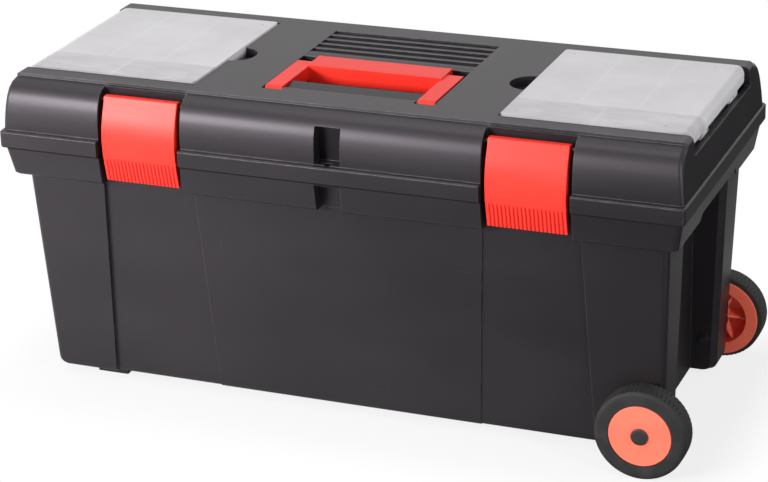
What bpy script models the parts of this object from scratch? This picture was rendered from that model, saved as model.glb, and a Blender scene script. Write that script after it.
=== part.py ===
# Rolling toolbox, 28 inch class: a moulded tub on two wheels under a hinged, domed lid.
# The lid carries two front latches, a folding carry handle and two small-parts organisers.
# Metres, +Z up, +X towards the wheels, -Y towards the latches, origin under the middle of the box.
import math

import bpy
import bmesh
from mathutils import Matrix, Vector

# Clearances and cutting allowances
SEAT_GAP = 0.0003       # between faces that rest on each other
RUN_GAP = 0.0003        # round a pin in its bore
OVERRUN = 0.010         # how far a cut reaches past the material
SKIN_OVERLAP = 0.0008   # how far two shapes sink into each other before they are joined

# Body of the tub
GROUND_CLEARANCE = 0.010
TUB_HEIGHT = 0.252
SHELL = 0.003
TOP_HALF_LENGTH = 0.3366
END_TAPER = 0.0079          # how much shorter each end of the tub is at the bottom
TOP_HALF_WIDTH = 0.1385
SIDE_TAPER = 0.019          # how much narrower each side of the tub is at the bottom
COLUMN_CORNER = 0.006
BOTTOM_ROUND = 0.008
BOTTOM_EDGE = 0.003
CHANNEL_DEPTH = 0.004
PANEL_SETBACK = 0.0025
CHANNEL_TOP_HALF = 0.048
CHANNEL_BOTTOM_HALF = 0.0597
STEP_SLANT = 0.0005
END_RECESS_DEPTH = 0.0346
COLUMN_WIDTH = 0.0425
RECESS_CHAMFER = 0.006

# Collar round the rim of the tub
COLLAR_END_OVERHANG = 0.0154
COLLAR_SIDE_OVERHANG = 0.0145
COLLAR_DEPTH = 0.031
COLLAR_TAPER = 0.005
COLLAR_CORNER = 0.006
COLLAR_EDGE = 0.0025
GRIP_ARCH_RISE = 0.010
GRIP_ARCH_INSET = 0.009     # from the corner column to the end of the hand grip
TONGUE_THICKNESS = 0.003
TONGUE_HEIGHT = 0.005
TONGUE_CLEARANCE = 0.001

# Lid
LID_HEIGHT = 0.0700
BAND_END_OVERLAP = 0.0033
BAND_SIDE_OVERLAP = 0.0035
BAND_HEIGHT = 0.017
BAND_WALL = 0.0035
BAND_CHAMFER = 0.0012
BAND_CORNER = 0.0045
BULGE_END_SETBACK = 0.0008
DOME_END_DRAW = 0.006       # how far the end faces lean in on their way up
BULGE_SIDE_SETBACK = 0.007
DOME_SWEEP = 0.0245         # from the widest line of the dome in to the plateau
PLATEAU_STEP = 0.0028
LID_END_ROUND = 0.005

# Latches
LATCH_X = 0.201
LATCH_WIDTH = 0.080
LATCH_SIDE_GAP = 0.005
LATCH_DROP = 0.082
LATCH_REACH = 0.0170
LATCH_WALL = 0.0035
LATCH_HUB_RADIUS = 0.0055
LATCH_PIN_RADIUS = 0.002
LATCH_PIN_INSET = 0.0140    # from the widest line of the dome back to the pin
LATCH_PIN_DEPTH = 0.0146    # from the plateau down to the pin
LATCH_SWING_GAP = 0.0025
LATCH_HOOK_GAP = 0.0006
LATCH_GROOVES = 19
LATCH_GROOVE_DEPTH = 0.0013

# Carry handle
HANDLE_HALF_WIDTH = 0.089
HANDLE_ARM_WIDTH = 0.018
HANDLE_ARM_SETBACK = 0.0155  # from the back of the grip to the back of the arms
HANDLE_PIVOT_Y = -0.085
HANDLE_BACK_Y = 0.008
HANDLE_ARM_THICKNESS = 0.014
HANDLE_PROUD = 0.0008
GRIP_DEPTH = 0.0315
GRIP_PROUD = 0.0023
GRIP_HEIGHT = 0.018
HANDLE_END_RADIUS = 0.008
HANDLE_PIN_RADIUS = 0.0025
HANDLE_SIDE_GAP = 0.0015
HANDLE_RECESS_DEPTH = 0.0316
HANDLE_BACK_GAP = 0.002
SLAB_DEPTH = 0.0305
SLAB_DROP = 0.004
SLAB_LIP = 0.0005
SLAB_FRONT_SETBACK = 0.008

# Ribbed field behind the handle
RIB_COUNT = 5
RIB_PITCH = 0.015
RIB_DEPTH = 0.002
RIB_FIELD_GAP = 0.0115

# Organisers
ORGANISER_INNER_X = 0.158
ORGANISER_SIDE_MARGIN = 0.020
ORGANISER_DEPTH = 0.0416
END_RAIL_HEIGHT = 0.0223
END_WALL = 0.0095
BOX_SIDE_GAP = 0.0015
BOX_WALL = 0.0018
BOX_CORNER = 0.004
BOX_TOP_GAP = 0.0015
BOX_SWING_GAP = 0.001       # room for the cover's inner skirt as it swings up
COVER_THICKNESS = 0.002
COVER_PROUD = 0.0014
COVER_END_ROUND = 0.009
COVER_INNER_CORNER = 0.004
COVER_OUTER_CORNER = 0.012
COVER_RAIL_GAP = 0.004      # from the end rail up to the hinge axis
COVER_EDGE_RISE = 0.0035    # from the hinge axis up to the lower edge of the cover
COVER_SKIRT_WALL = 0.0015
COVER_HINGE_RADIUS = 0.003
COVER_HINGE_PIN = 0.0014
COVER_HINGE_SPREAD = 0.060
COVER_KNUCKLE = 0.012
NOTCH_RADIUS = 0.022
NOTCH_CENTRE_Y = -0.005
NOTCH_DEPTH = 0.011

# Padlock notch and hole
PADLOCK_HALF_WIDTH = 0.0135
PADLOCK_NOTCH_DEPTH = 0.015
PADLOCK_WALL_OFFSET = 0.0004
PADLOCK_HOLE_RADIUS = 0.0042
PADLOCK_TOP_DROP = 0.0155   # from the plateau down to the top of the notch

# Hinge at the back
HINGE_STATION_X = 0.220
HINGE_AXIS_OUT = 0.0065     # from the band's back face out to the axis
HINGE_RADIUS = 0.0052
HINGE_PIN_RADIUS = 0.0025
KNUCKLE_LENGTH = 0.018
KNUCKLE_GAP = 0.0005
KNUCKLE_ARM = 0.007

# Lift-out tray inside the tub
TRAY_DEPTH = 0.052
TRAY_TOP_DROP = 0.014
TRAY_WALL = 0.0025
TRAY_SIDE_GAP = 0.004
TRAY_LEDGE = 0.011
TRAY_FLANGE = 0.008
TRAY_TAPER = 0.006
TRAY_HANDLE_WIDTH = 0.022
TRAY_HANDLE_HALF_SPAN = 0.070
TRAY_HANDLE_THICKNESS = 0.004
LEDGE_HALF_WIDTH = 0.090
LEDGE_THICKNESS = 0.006

# Wheels
WHEEL_INSET = 0.012         # from the end of the tub's bottom back to the axle
TYRE_RADIUS = 0.0458
WHEEL_WIDTH = 0.0285
WHEEL_STANDOFF = 0.0413     # from the side of the tub's bottom out to the wheel's face
RIM_FACE_RADIUS = 0.0303
RIM_SEAT_RADIUS = 0.036
RIM_RING_RADIUS = 0.0412
RIM_INNER_RADIUS = 0.029
RIM_FACE_THICKNESS = 0.004
RIM_BEVEL = 0.001
RIM_SHOULDER = 0.006
RIM_HUB_RADIUS = 0.009
RIM_RING_WIDTH = 0.0025
SPOKE_COUNT = 6
SPOKE_THICKNESS = 0.003
SPOKE_HEIGHT = 0.018
AXLE_RADIUS = 0.004
AXLE_TAIL = 0.0045          # how far the axle sticks out into the end recess
CAP_RADIUS = 0.0085
CAP_HEIGHT = 0.0022
CLIP_RADIUS = 0.0058
CLIP_THICKNESS = 0.0015
WASHER_RADIUS = 0.0095
WASHER_THICKNESS = 0.0014
AXLE_BOSS_RADIUS = 0.011

# Foot pads under the end without wheels
FOOT_END_INSET = 0.0547
FOOT_SIDE_INSET = 0.0315
FOOT_HALF_LENGTH = 0.017
FOOT_HALF_WIDTH = 0.014

# Levels and places that follow from the sizes above
BOTTOM_HALF_LENGTH = TOP_HALF_LENGTH - END_TAPER
BOTTOM_HALF_WIDTH = TOP_HALF_WIDTH - SIDE_TAPER
END_RECESS_X = TOP_HALF_LENGTH - END_RECESS_DEPTH
END_RECESS_HALF = BOTTOM_HALF_WIDTH - COLUMN_WIDTH
COLLAR_HALF_LENGTH = TOP_HALF_LENGTH + COLLAR_END_OVERHANG
COLLAR_HALF_WIDTH = TOP_HALF_WIDTH + COLLAR_SIDE_OVERHANG
GRIP_ARCH_HALF = END_RECESS_HALF - GRIP_ARCH_INSET
BAND_HALF_LENGTH = COLLAR_HALF_LENGTH + BAND_END_OVERLAP
BAND_HALF_WIDTH = COLLAR_HALF_WIDTH + BAND_SIDE_OVERLAP
BULGE_HALF_LENGTH = BAND_HALF_LENGTH - BULGE_END_SETBACK
BULGE_HALF_WIDTH = BAND_HALF_WIDTH - BULGE_SIDE_SETBACK
PLATEAU_HALF_WIDTH = BULGE_HALF_WIDTH - DOME_SWEEP
ORGANISER_HALF_WIDTH = PLATEAU_HALF_WIDTH - ORGANISER_SIDE_MARGIN
WHEEL_X = BOTTOM_HALF_LENGTH - WHEEL_INSET
WHEEL_OUTER_Y = BOTTOM_HALF_WIDTH + WHEEL_STANDOFF
AXLE_INNER_Y = END_RECESS_HALF - AXLE_TAIL
FOOT_X = BOTTOM_HALF_LENGTH - FOOT_END_INSET
FOOT_Y = BOTTOM_HALF_WIDTH - FOOT_SIDE_INSET
BASE_Z = GROUND_CLEARANCE
RIM_Z = BASE_Z + TUB_HEIGHT
COLLAR_Z = RIM_Z - COLLAR_DEPTH
LID_Z = RIM_Z + SEAT_GAP
BAND_TOP_Z = LID_Z + BAND_HEIGHT
PLATEAU_Z = LID_Z + LID_HEIGHT
DOME_FLOOR_Z = BAND_TOP_Z - BAND_HEIGHT / 2
OPENING_HALF_WIDTH = TOP_HALF_WIDTH - CHANNEL_DEPTH - SHELL
OPENING_HALF_LENGTH = END_RECESS_X - SHELL
TONGUE_HALF_WIDTH = OPENING_HALF_WIDTH + TONGUE_THICKNESS
POCKET_LOWER_Y = -(TONGUE_HALF_WIDTH + TONGUE_CLEARANCE + SHELL)
POCKET_HALF = LATCH_WIDTH / 2 + LATCH_SIDE_GAP
LATCH_PIN_Y = -(BULGE_HALF_WIDTH - LATCH_PIN_INSET)
LATCH_PIN_Z = PLATEAU_Z - LATCH_PIN_DEPTH
POCKET_UPPER_Y = LATCH_PIN_Y + LATCH_HUB_RADIUS + LATCH_SWING_GAP
NOSE_Y = POCKET_LOWER_Y - TONGUE_CLEARANCE - SHELL
HANDLE_PIVOT_Z = PLATEAU_Z + HANDLE_PROUD - HANDLE_END_RADIUS
RECESS_HALF_WIDTH = HANDLE_HALF_WIDTH + HANDLE_SIDE_GAP
RECESS_FRONT_Y = HANDLE_PIVOT_Y - HANDLE_END_RADIUS - HANDLE_SIDE_GAP - HANDLE_SIDE_GAP
RECESS_BACK_Y = HANDLE_BACK_Y + HANDLE_BACK_GAP
RECESS_FLOOR_Z = PLATEAU_Z - HANDLE_RECESS_DEPTH
SLAB_HALF_WIDTH = HANDLE_HALF_WIDTH - HANDLE_ARM_WIDTH - HANDLE_SIDE_GAP
SLAB_BACK_Y = RECESS_FRONT_Y + SLAB_DEPTH
SLAB_FRONT_Y = RECESS_FRONT_Y + SLAB_FRONT_SETBACK
WELL_FLOOR_Z = PLATEAU_Z - ORGANISER_DEPTH
WELL_END_X = BULGE_HALF_LENGTH - END_WALL
END_RAIL_Z = WELL_FLOOR_Z + END_RAIL_HEIGHT
COVER_TOP_Z = PLATEAU_Z + COVER_PROUD
COVER_HINGE_X = WELL_END_X - BOX_SIDE_GAP
COVER_HINGE_Z = END_RAIL_Z + COVER_RAIL_GAP
COVER_LOW_Z = COVER_HINGE_Z + COVER_EDGE_RISE
COVER_OUTER_X = COVER_HINGE_X + COVER_HINGE_RADIUS
BOX_END_X = COVER_HINGE_X - COVER_HINGE_RADIUS - BOX_SIDE_GAP
BOX_INNER_X = ORGANISER_INNER_X + BOX_SIDE_GAP
BOX_HALF_WIDTH = ORGANISER_HALF_WIDTH - BOX_SIDE_GAP
BOX_TOP_Z = COVER_TOP_Z - COVER_THICKNESS - BOX_TOP_GAP
HINGE_Y = BAND_HALF_WIDTH + HINGE_AXIS_OUT
HINGE_Z = RIM_Z + SEAT_GAP / 2
WHEEL_INNER_Y = WHEEL_OUTER_Y - WHEEL_WIDTH
AXLE_Z = TYRE_RADIUS
BOSS_Y = WHEEL_INNER_Y - WASHER_THICKNESS - SEAT_GAP * 2
TRAY_TOP_Z = RIM_Z - TRAY_TOP_DROP
TRAY_FLOOR_Z = TRAY_TOP_Z - TRAY_DEPTH
LEDGE_TOP_Z = TRAY_TOP_Z - TRAY_WALL - SEAT_GAP

# The wheels stick out past the lid at one end and the hinge at the back,
# so the symmetric body sits a little off the middle of the whole.
BODY_SHIFT_X = -(WHEEL_X + TYRE_RADIUS - BAND_HALF_LENGTH) / 2
BODY_SHIFT_Y = -(HINGE_Y + HINGE_RADIUS - WHEEL_OUTER_Y - SEAT_GAP - CAP_HEIGHT) / 2

# Outlines, as shares of the sizes that they follow.
# Dome of the lid: (share of the bulge outwards, share of its height), from the band to the plateau.
DOME_SHARES = ((1.0, 0.0), (1.0, 0.12), (0.985, 0.31), (0.93, 0.52), (0.835, 0.70),
               (0.68, 0.85), (0.42, 0.95), (0.0, 1.0))
# Latch face and back: (share of the reach forwards, share of the drop below the pin).
LATCH_FACE_SHARES = ((0.43, 0.006), (0.68, 0.137), (0.90, 0.29), (1.0, 0.46),
                     (0.97, 0.63), (0.84, 0.785), (0.63, 0.985))
LATCH_BACK_SHARES = ((0.52, 1.0), (0.46, 0.95), (0.46, 0.70), (0.38, 0.416), (0.28, 0.22))
LATCH_HOLLOW_SHARES = (0.13, 0.83)
GROOVE_START_SHARE = 0.685
GROOVE_WIDTH_SHARE = 0.45
LATCH_POCKET_SHARES = (0.50, 0.68)
ORGANISER_ROW_SHARE = 0.24
# Tyre section: (share of the way from the rim's lip to the tread, share of the tyre's width).
TYRE_SECTION_SHARES = ((0.35, 0.0), (0.70, 0.045), (0.94, 0.16), (1.0, 0.25), (1.0, 0.88), (0.90, 1.0))
BOTTOM_ROUND_STEPS = 4
CORNER_STEPS = 4

BLACK = (0.050, 0.050, 0.054, 1.0)
RED = (0.86, 0.060, 0.035, 1.0)
ORANGE_RED = (0.95, 0.13, 0.07, 1.0)
FROSTED = (0.66, 0.66, 0.68, 1.0)
RUBBER = (0.055, 0.057, 0.058, 1.0)
STEEL = (0.60, 0.60, 0.62, 1.0)
CAP_BLACK = (0.035, 0.035, 0.037, 1.0)


def remove_everything():
    for thing in list(bpy.data.objects):
        bpy.data.objects.remove(thing, do_unlink=True)


def plain_material(name, colour, roughness, metallic=0.0, alpha=1.0):
    material = bpy.data.materials.new(name)
    material.use_nodes = True
    shader = material.node_tree.nodes["Principled BSDF"]
    shader.inputs["Base Color"].default_value = colour
    shader.inputs["Roughness"].default_value = roughness
    shader.inputs["Metallic"].default_value = metallic
    shader.inputs["Alpha"].default_value = alpha
    material.diffuse_color = colour
    return material


def blend(low, high, share):
    return low + (high - low) * share


def new_object(name, bm):
    bmesh.ops.recalc_face_normals(bm, faces=bm.faces)
    mesh = bpy.data.meshes.new(name)
    bm.to_mesh(mesh)
    bm.free()
    thing = bpy.data.objects.new(name, mesh)
    bpy.context.collection.objects.link(thing)
    return thing


# A closed solid skinned over loops that all have the same number of points.
def skin(name, loops):
    bm = bmesh.new()
    rings = [[bm.verts.new(point) for point in loop] for loop in loops]
    for lower, upper in zip(rings, rings[1:]):
        for index in range(len(lower)):
            following = (index + 1) % len(lower)
            bm.faces.new((lower[index], lower[following], upper[following], upper[index]))
    bm.faces.new(rings[0])
    bm.faces.new(rings[-1])
    return new_object(name, bm)


def block(name, x_span, y_span, z_span):
    corners = [(x_span[0], y_span[0]), (x_span[1], y_span[0]), (x_span[1], y_span[1]), (x_span[0], y_span[1])]
    return skin(name, [[(x, y, z) for x, y in corners] for z in z_span])


# An outline in the Y-Z plane pushed along X.
def bar_along_x(name, outline, x_span):
    return skin(name, [[(x, y, z) for y, z in outline] for x in x_span])


# An outline in the X-Z plane pushed along Y.
def bar_along_y(name, outline, y_span):
    return skin(name, [[(x, y, z) for x, z in outline] for y in y_span])


# An outline in the X-Y plane pushed up Z.
def plate(name, outline, z_span):
    return skin(name, [[(x, y, z) for x, y in outline] for z in z_span])


def circle(radius, steps, centre=(0.0, 0.0)):
    points = []
    for index in range(steps):
        angle = math.tau * index / steps
        points.append((centre[0] + radius * math.cos(angle), centre[1] + radius * math.sin(angle)))
    return points


def rod_along_x(name, x_span, y, z, radius, steps=24):
    return bar_along_x(name, circle(radius, steps, (y, z)), x_span)


def rod_along_y(name, x, y_span, z, radius, steps=32):
    ring = circle(radius, steps, (x, z))
    return skin(name, [[(u, y, w) for u, w in ring] for y in y_span])


def rod_along_z(name, x, y, z_span, radius, steps=24):
    return plate(name, circle(radius, steps, (x, y)), z_span)


def rounded_rectangle(half_x, half_y, radius, steps=CORNER_STEPS):
    points = []
    for quarter, (sign_x, sign_y) in enumerate(((1, 1), (-1, 1), (-1, -1), (1, -1))):
        for step in range(steps + 1):
            angle = (quarter + step / steps) * math.pi / 2
            points.append((sign_x * (half_x - radius) + radius * math.cos(angle),
                           sign_y * (half_y - radius) + radius * math.sin(angle)))
    return points


def rounded_level(half_x, half_y, radius, z):
    return [(x, y, z) for x, y in rounded_rectangle(half_x, half_y, radius)]


# One Boolean step, applied at once; the tool shape is used up.
def combine(target, tool, operation):
    modifier = target.modifiers.new(operation, "BOOLEAN")
    modifier.operation = operation
    modifier.solver = "EXACT"
    modifier.object = tool
    graph = bpy.context.evaluated_depsgraph_get()
    result = bpy.data.meshes.new_from_object(target.evaluated_get(graph))
    target.modifiers.clear()
    target.data = result
    bpy.data.objects.remove(tool, do_unlink=True)
    return target


def cut(target, tool):
    return combine(target, tool, "DIFFERENCE")


def join(target, tool):
    return combine(target, tool, "UNION")


def keep_common(target, tool):
    return combine(target, tool, "INTERSECT")


def mirrored_x(thing, name):
    copy = bpy.data.objects.new(name, thing.data.copy())
    bpy.context.collection.objects.link(copy)
    copy.data.transform(Matrix.Diagonal((-1, 1, 1, 1)))
    copy.data.flip_normals()
    return copy


# Gives a finished solid its name, its material and its parent, with its origin on its own pivot.
def finish(thing, name, material, parent, pivot=(0.0, 0.0, 0.0), smooth_angle=35.0):
    thing.name = name
    thing.data.name = name
    thing.data.materials.clear()
    thing.data.materials.append(material)
    thing.data.transform(Matrix.Translation(-Vector(pivot)))
    thing.location = pivot
    thing.parent = parent
    thing.data.shade_smooth()
    thing.data.set_sharp_from_angle(angle=math.radians(smooth_angle))
    return thing


# How far out the faces of the corner columns are at one height.
def column_face(z):
    return blend(BOTTOM_HALF_WIDTH, TOP_HALF_WIDTH, (z - BASE_Z) / TUB_HEIGHT)


# Plan outline of the tub at one height: corner columns, latch channels, centre panel, end recesses.
# A wall above zero gives the inner face, which has square ends in place of the end recesses.
def tub_outline(z, wall=0.0, squeeze=0.0):
    share = (z - BASE_Z) / TUB_HEIGHT
    half_length = blend(BOTTOM_HALF_LENGTH, TOP_HALF_LENGTH, share) - squeeze
    edge_squeeze = squeeze * BOTTOM_EDGE / BOTTOM_ROUND
    column_y = column_face(z) - wall - edge_squeeze
    channel_half = blend(CHANNEL_BOTTOM_HALF, CHANNEL_TOP_HALF, share) + wall
    outer_edge = LATCH_X + channel_half
    inner_edge = LATCH_X - channel_half
    channel_y = column_y - CHANNEL_DEPTH
    panel_y = column_y - PANEL_SETBACK
    quadrant = []
    if wall == 0.0:
        quadrant.append((END_RECESS_X, END_RECESS_HALF))
        quadrant.append((half_length - RECESS_CHAMFER, END_RECESS_HALF))
        quadrant.append((half_length, END_RECESS_HALF + RECESS_CHAMFER))
    else:
        half_length = END_RECESS_X - wall
    for step in range(CORNER_STEPS + 1):
        angle = step / CORNER_STEPS * math.pi / 2
        quadrant.append((half_length - COLUMN_CORNER * (1 - math.cos(angle)),
                         column_y - COLUMN_CORNER * (1 - math.sin(angle))))
    quadrant.append((outer_edge, column_y))
    quadrant.append((outer_edge - STEP_SLANT, channel_y))
    quadrant.append((inner_edge + STEP_SLANT, channel_y))
    quadrant.append((inner_edge, panel_y))
    outline = list(quadrant)
    outline += [(-x, y) for x, y in reversed(quadrant)]
    outline += [(-x, -y) for x, y in quadrant]
    outline += [(x, -y) for x, y in reversed(quadrant)]
    return outline


def tub_wall_solid():
    loops = []
    for step in range(BOTTOM_ROUND_STEPS, -1, -1):
        angle = step / BOTTOM_ROUND_STEPS * math.pi / 2
        z = BASE_Z + BOTTOM_ROUND * (1 - math.sin(angle))
        squeeze = BOTTOM_ROUND * (1 - math.cos(angle))
        loops.append([(x, y, z) for x, y in tub_outline(z, 0.0, squeeze)])
    top = RIM_Z - SHELL / 2
    loops.append([(x, y, top) for x, y in tub_outline(top)])
    return skin("tub_wall", loops)


def tub_cavity():
    floor = BASE_Z + SHELL
    neck = COLLAR_Z + COLLAR_DEPTH / 2
    cavity = skin("cavity", [[(x, y, z) for x, y in tub_outline(z, SHELL)] for z in (floor, neck)])
    throat = plate("throat", rounded_rectangle(OPENING_HALF_LENGTH, OPENING_HALF_WIDTH, COLUMN_CORNER),
                   (neck - SHELL, RIM_Z + OVERRUN))
    return join(cavity, throat)


# The hanging collar: a flange with a skirt, closed on each side of the latches and behind the padlock notch.
def collar_solid():
    low_x = COLLAR_HALF_LENGTH - COLLAR_TAPER
    low_y = COLLAR_HALF_WIDTH - COLLAR_TAPER
    levels = ((low_x - COLLAR_EDGE, low_y - COLLAR_EDGE, COLLAR_Z), (low_x, low_y, COLLAR_Z + COLLAR_EDGE),
              (COLLAR_HALF_LENGTH, COLLAR_HALF_WIDTH, RIM_Z))
    collar = skin("collar", [[(x, y, z) for x, y in rounded_rectangle(half_x, half_y, COLLAR_CORNER)]
                             for half_x, half_y, z in levels])
    inner = []
    for half_x, half_y, z in ((low_x, low_y, COLLAR_Z - OVERRUN),
                              (COLLAR_HALF_LENGTH, COLLAR_HALF_WIDTH, RIM_Z - SHELL)):
        inner.append([(x, y, z) for x, y in rounded_rectangle(half_x - SHELL, half_y - SHELL,
                                                              COLLAR_CORNER - SHELL)])
    hollow = skin("collar_hollow", inner)
    cheek = POCKET_HALF + SHELL
    for side in (-1, 1):
        spare = block("spare", (side * LATCH_X - cheek, side * LATCH_X + cheek),
                      (-COLLAR_HALF_WIDTH - OVERRUN, -BOTTOM_HALF_WIDTH),
                      (COLLAR_Z - OVERRUN * 2, RIM_Z + OVERRUN))
        cut(hollow, spare)
    notch_cheek = PADLOCK_HALF_WIDTH + SHELL
    cut(hollow, block("spare", (-notch_cheek, notch_cheek),
                      (-COLLAR_HALF_WIDTH - OVERRUN, -BOTTOM_HALF_WIDTH),
                      (COLLAR_Z - OVERRUN * 2, RIM_Z + OVERRUN)))
    cut(collar, hollow)
    for side in (-1, 1):
        span = (side * LATCH_X - POCKET_HALF, side * LATCH_X + POCKET_HALF)
        cut(collar, block("outer_cut", span, (-COLLAR_HALF_WIDTH - OVERRUN, NOSE_Y),
                          (COLLAR_Z - OVERRUN, RIM_Z + OVERRUN)))
        cut(collar, block("under_cut", span, (-COLLAR_HALF_WIDTH - OVERRUN, -BOTTOM_HALF_WIDTH),
                          (COLLAR_Z - OVERRUN, RIM_Z - SHELL)))
        arch = [(-GRIP_ARCH_HALF, COLLAR_Z - OVERRUN), (GRIP_ARCH_HALF, COLLAR_Z - OVERRUN),
                (GRIP_ARCH_HALF, COLLAR_Z + COLLAR_EDGE),
                (GRIP_ARCH_HALF - GRIP_ARCH_RISE / 2, COLLAR_Z + GRIP_ARCH_RISE),
                (-GRIP_ARCH_HALF + GRIP_ARCH_RISE / 2, COLLAR_Z + GRIP_ARCH_RISE),
                (-GRIP_ARCH_HALF, COLLAR_Z + COLLAR_EDGE)]
        cut(collar, bar_along_x("arch", arch, (side * (COLLAR_HALF_LENGTH - COLLAR_TAPER - SHELL * 3),
                                               side * (COLLAR_HALF_LENGTH + OVERRUN))))
    return collar


# Open at the bottom; its back wall lies just outside the panel and runs parallel to it.
def padlock_notch_below():
    front = -COLLAR_HALF_WIDTH - OVERRUN
    outline = [(front, COLLAR_Z - OVERRUN)]
    for z in (COLLAR_Z - OVERRUN, RIM_Z - SHELL):
        outline.append((PANEL_SETBACK - PADLOCK_WALL_OFFSET - column_face(z), z))
    outline.append((front, RIM_Z - SHELL))
    return bar_along_x("notch_below", outline, (-PADLOCK_HALF_WIDTH, PADLOCK_HALF_WIDTH))


# The corner columns are cored out from below in two steps, so that they keep fairly even walls.
def core_columns(tub):
    top = COLLAR_Z - SHELL * 3
    middle = BASE_Z + TUB_HEIGHT / 2
    for side_x in (-1, 1):
        x_span = sorted((side_x * (END_RECESS_X + SHELL), side_x * (BOTTOM_HALF_LENGTH - SHELL - SHELL)))
        for side_y in (-1, 1):
            core = None
            for low, high, face in ((BASE_Z - OVERRUN, middle, BOTTOM_HALF_WIDTH),
                                    (middle - SHELL, top, column_face(middle - SHELL))):
                y_span = sorted((side_y * (END_RECESS_HALF + SHELL), side_y * (face - SHELL)))
                piece = block("core", x_span, y_span, (low, high))
                core = join(core, piece) if core else piece
            cut(tub, core)


# A boss keeps each wheel's hub off the wall of its column, and the axle runs through both.
def add_wheel_mounts(tub):
    for side in (-1, 1):
        root = side * (BOTTOM_HALF_WIDTH - SHELL / 2)
        join(tub, rod_along_y("boss", WHEEL_X, (root, side * BOSS_Y), AXLE_Z, AXLE_BOSS_RADIUS))
        bore_span = (side * (END_RECESS_HALF - OVERRUN), side * (BOSS_Y + OVERRUN))
        cut(tub, rod_along_y("bore", WHEEL_X, bore_span, AXLE_Z, AXLE_RADIUS + RUN_GAP, 24))


def hinge_knuckle_spans(station, moving):
    pitch = KNUCKLE_LENGTH + KNUCKLE_GAP
    if moving:
        return [(station - KNUCKLE_LENGTH / 2, station + KNUCKLE_LENGTH / 2)]
    return [(station - pitch * 1.5 + KNUCKLE_GAP / 2, station - pitch / 2 - KNUCKLE_GAP / 2),
            (station + pitch / 2 + KNUCKLE_GAP / 2, station + pitch * 1.5 - KNUCKLE_GAP / 2)]


def add_knuckles(target, moving):
    for side in (-1, 1):
        for span in hinge_knuckle_spans(side * HINGE_STATION_X, moving):
            if moving:
                arm = block("arm", span, (BAND_HALF_WIDTH - BAND_CHAMFER, HINGE_Y),
                            (LID_Z, LID_Z + HINGE_RADIUS))
            else:
                arm = block("arm", span, (COLLAR_HALF_WIDTH - BAND_CHAMFER, HINGE_Y),
                            (RIM_Z - KNUCKLE_ARM, RIM_Z))
            join(target, arm)
            join(target, rod_along_x("knuckle", span, HINGE_Y, HINGE_Z, HINGE_RADIUS))
            reach = (span[0] - KNUCKLE_GAP, span[1] + KNUCKLE_GAP)
            cut(target, rod_along_x("bore", reach, HINGE_Y, HINGE_Z, HINGE_PIN_RADIUS + RUN_GAP))


def add_tray_ledges(tub):
    for side in (-1, 1):
        wall = side * (OPENING_HALF_LENGTH + SKIN_OVERLAP)
        nose = side * (OPENING_HALF_LENGTH - TRAY_LEDGE)
        join(tub, block("ledge", sorted((wall, nose)), (-LEDGE_HALF_WIDTH, LEDGE_HALF_WIDTH),
                        (LEDGE_TOP_Z - LEDGE_THICKNESS, LEDGE_TOP_Z)))


def make_tub(material, parent):
    tub = collar_solid()
    join(tub, tub_wall_solid())
    cut(tub, tub_cavity())
    tongue = plate("tongue", rounded_rectangle(OPENING_HALF_LENGTH + TONGUE_THICKNESS, TONGUE_HALF_WIDTH,
                                               COLUMN_CORNER + TONGUE_THICKNESS),
                   (RIM_Z - SKIN_OVERLAP, RIM_Z + TONGUE_HEIGHT))
    cut(tongue, plate("inside", rounded_rectangle(OPENING_HALF_LENGTH, OPENING_HALF_WIDTH, COLUMN_CORNER),
                      (RIM_Z - OVERRUN, RIM_Z + OVERRUN)))
    join(tub, tongue)
    cut(tub, padlock_notch_below())
    cut(tub, rod_along_z("padlock_hole", 0.0, padlock_hole_y(),
                         (RIM_Z - SHELL - OVERRUN / 2, RIM_Z + OVERRUN / 2),
                         PADLOCK_HOLE_RADIUS))
    core_columns(tub)
    add_wheel_mounts(tub)
    add_tray_ledges(tub)
    for side in (-1, 1):
        join(tub, block("foot", (-FOOT_X - FOOT_HALF_LENGTH, -FOOT_X + FOOT_HALF_LENGTH),
                        (side * FOOT_Y - FOOT_HALF_WIDTH, side * FOOT_Y + FOOT_HALF_WIDTH),
                        (0.0, BASE_Z + SKIN_OVERLAP)))
    add_knuckles(tub, False)
    return finish(tub, "tub", material, parent)


def padlock_hole_y():
    return -(COLLAR_HALF_WIDTH - SHELL - PADLOCK_HOLE_RADIUS)


# Y-Z outline of the lid's dome, drawn in by an inset for the rounded ends.
def dome_outline(inset=0.0, floor=DOME_FLOOR_Z):
    bulge = BULGE_HALF_WIDTH - PLATEAU_HALF_WIDTH
    height = PLATEAU_Z - PLATEAU_STEP - BAND_TOP_Z
    side = [(BULGE_HALF_WIDTH - inset, floor)]
    for out_share, up_share in DOME_SHARES:
        side.append((PLATEAU_HALF_WIDTH + bulge * out_share - inset,
                     BAND_TOP_Z + (height - inset) * up_share))
    side.append((PLATEAU_HALF_WIDTH - inset - SKIN_OVERLAP / 2, PLATEAU_Z - inset))
    outline = [(-y, z) for y, z in side]
    outline += [(y, z) for y, z in reversed(side)]
    return outline


# How far the dome's flat end faces have leaned in at one height.
def dome_end_draw(z):
    return DOME_END_DRAW * (z - DOME_FLOOR_Z) / (PLATEAU_Z - DOME_FLOOR_Z)


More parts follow.
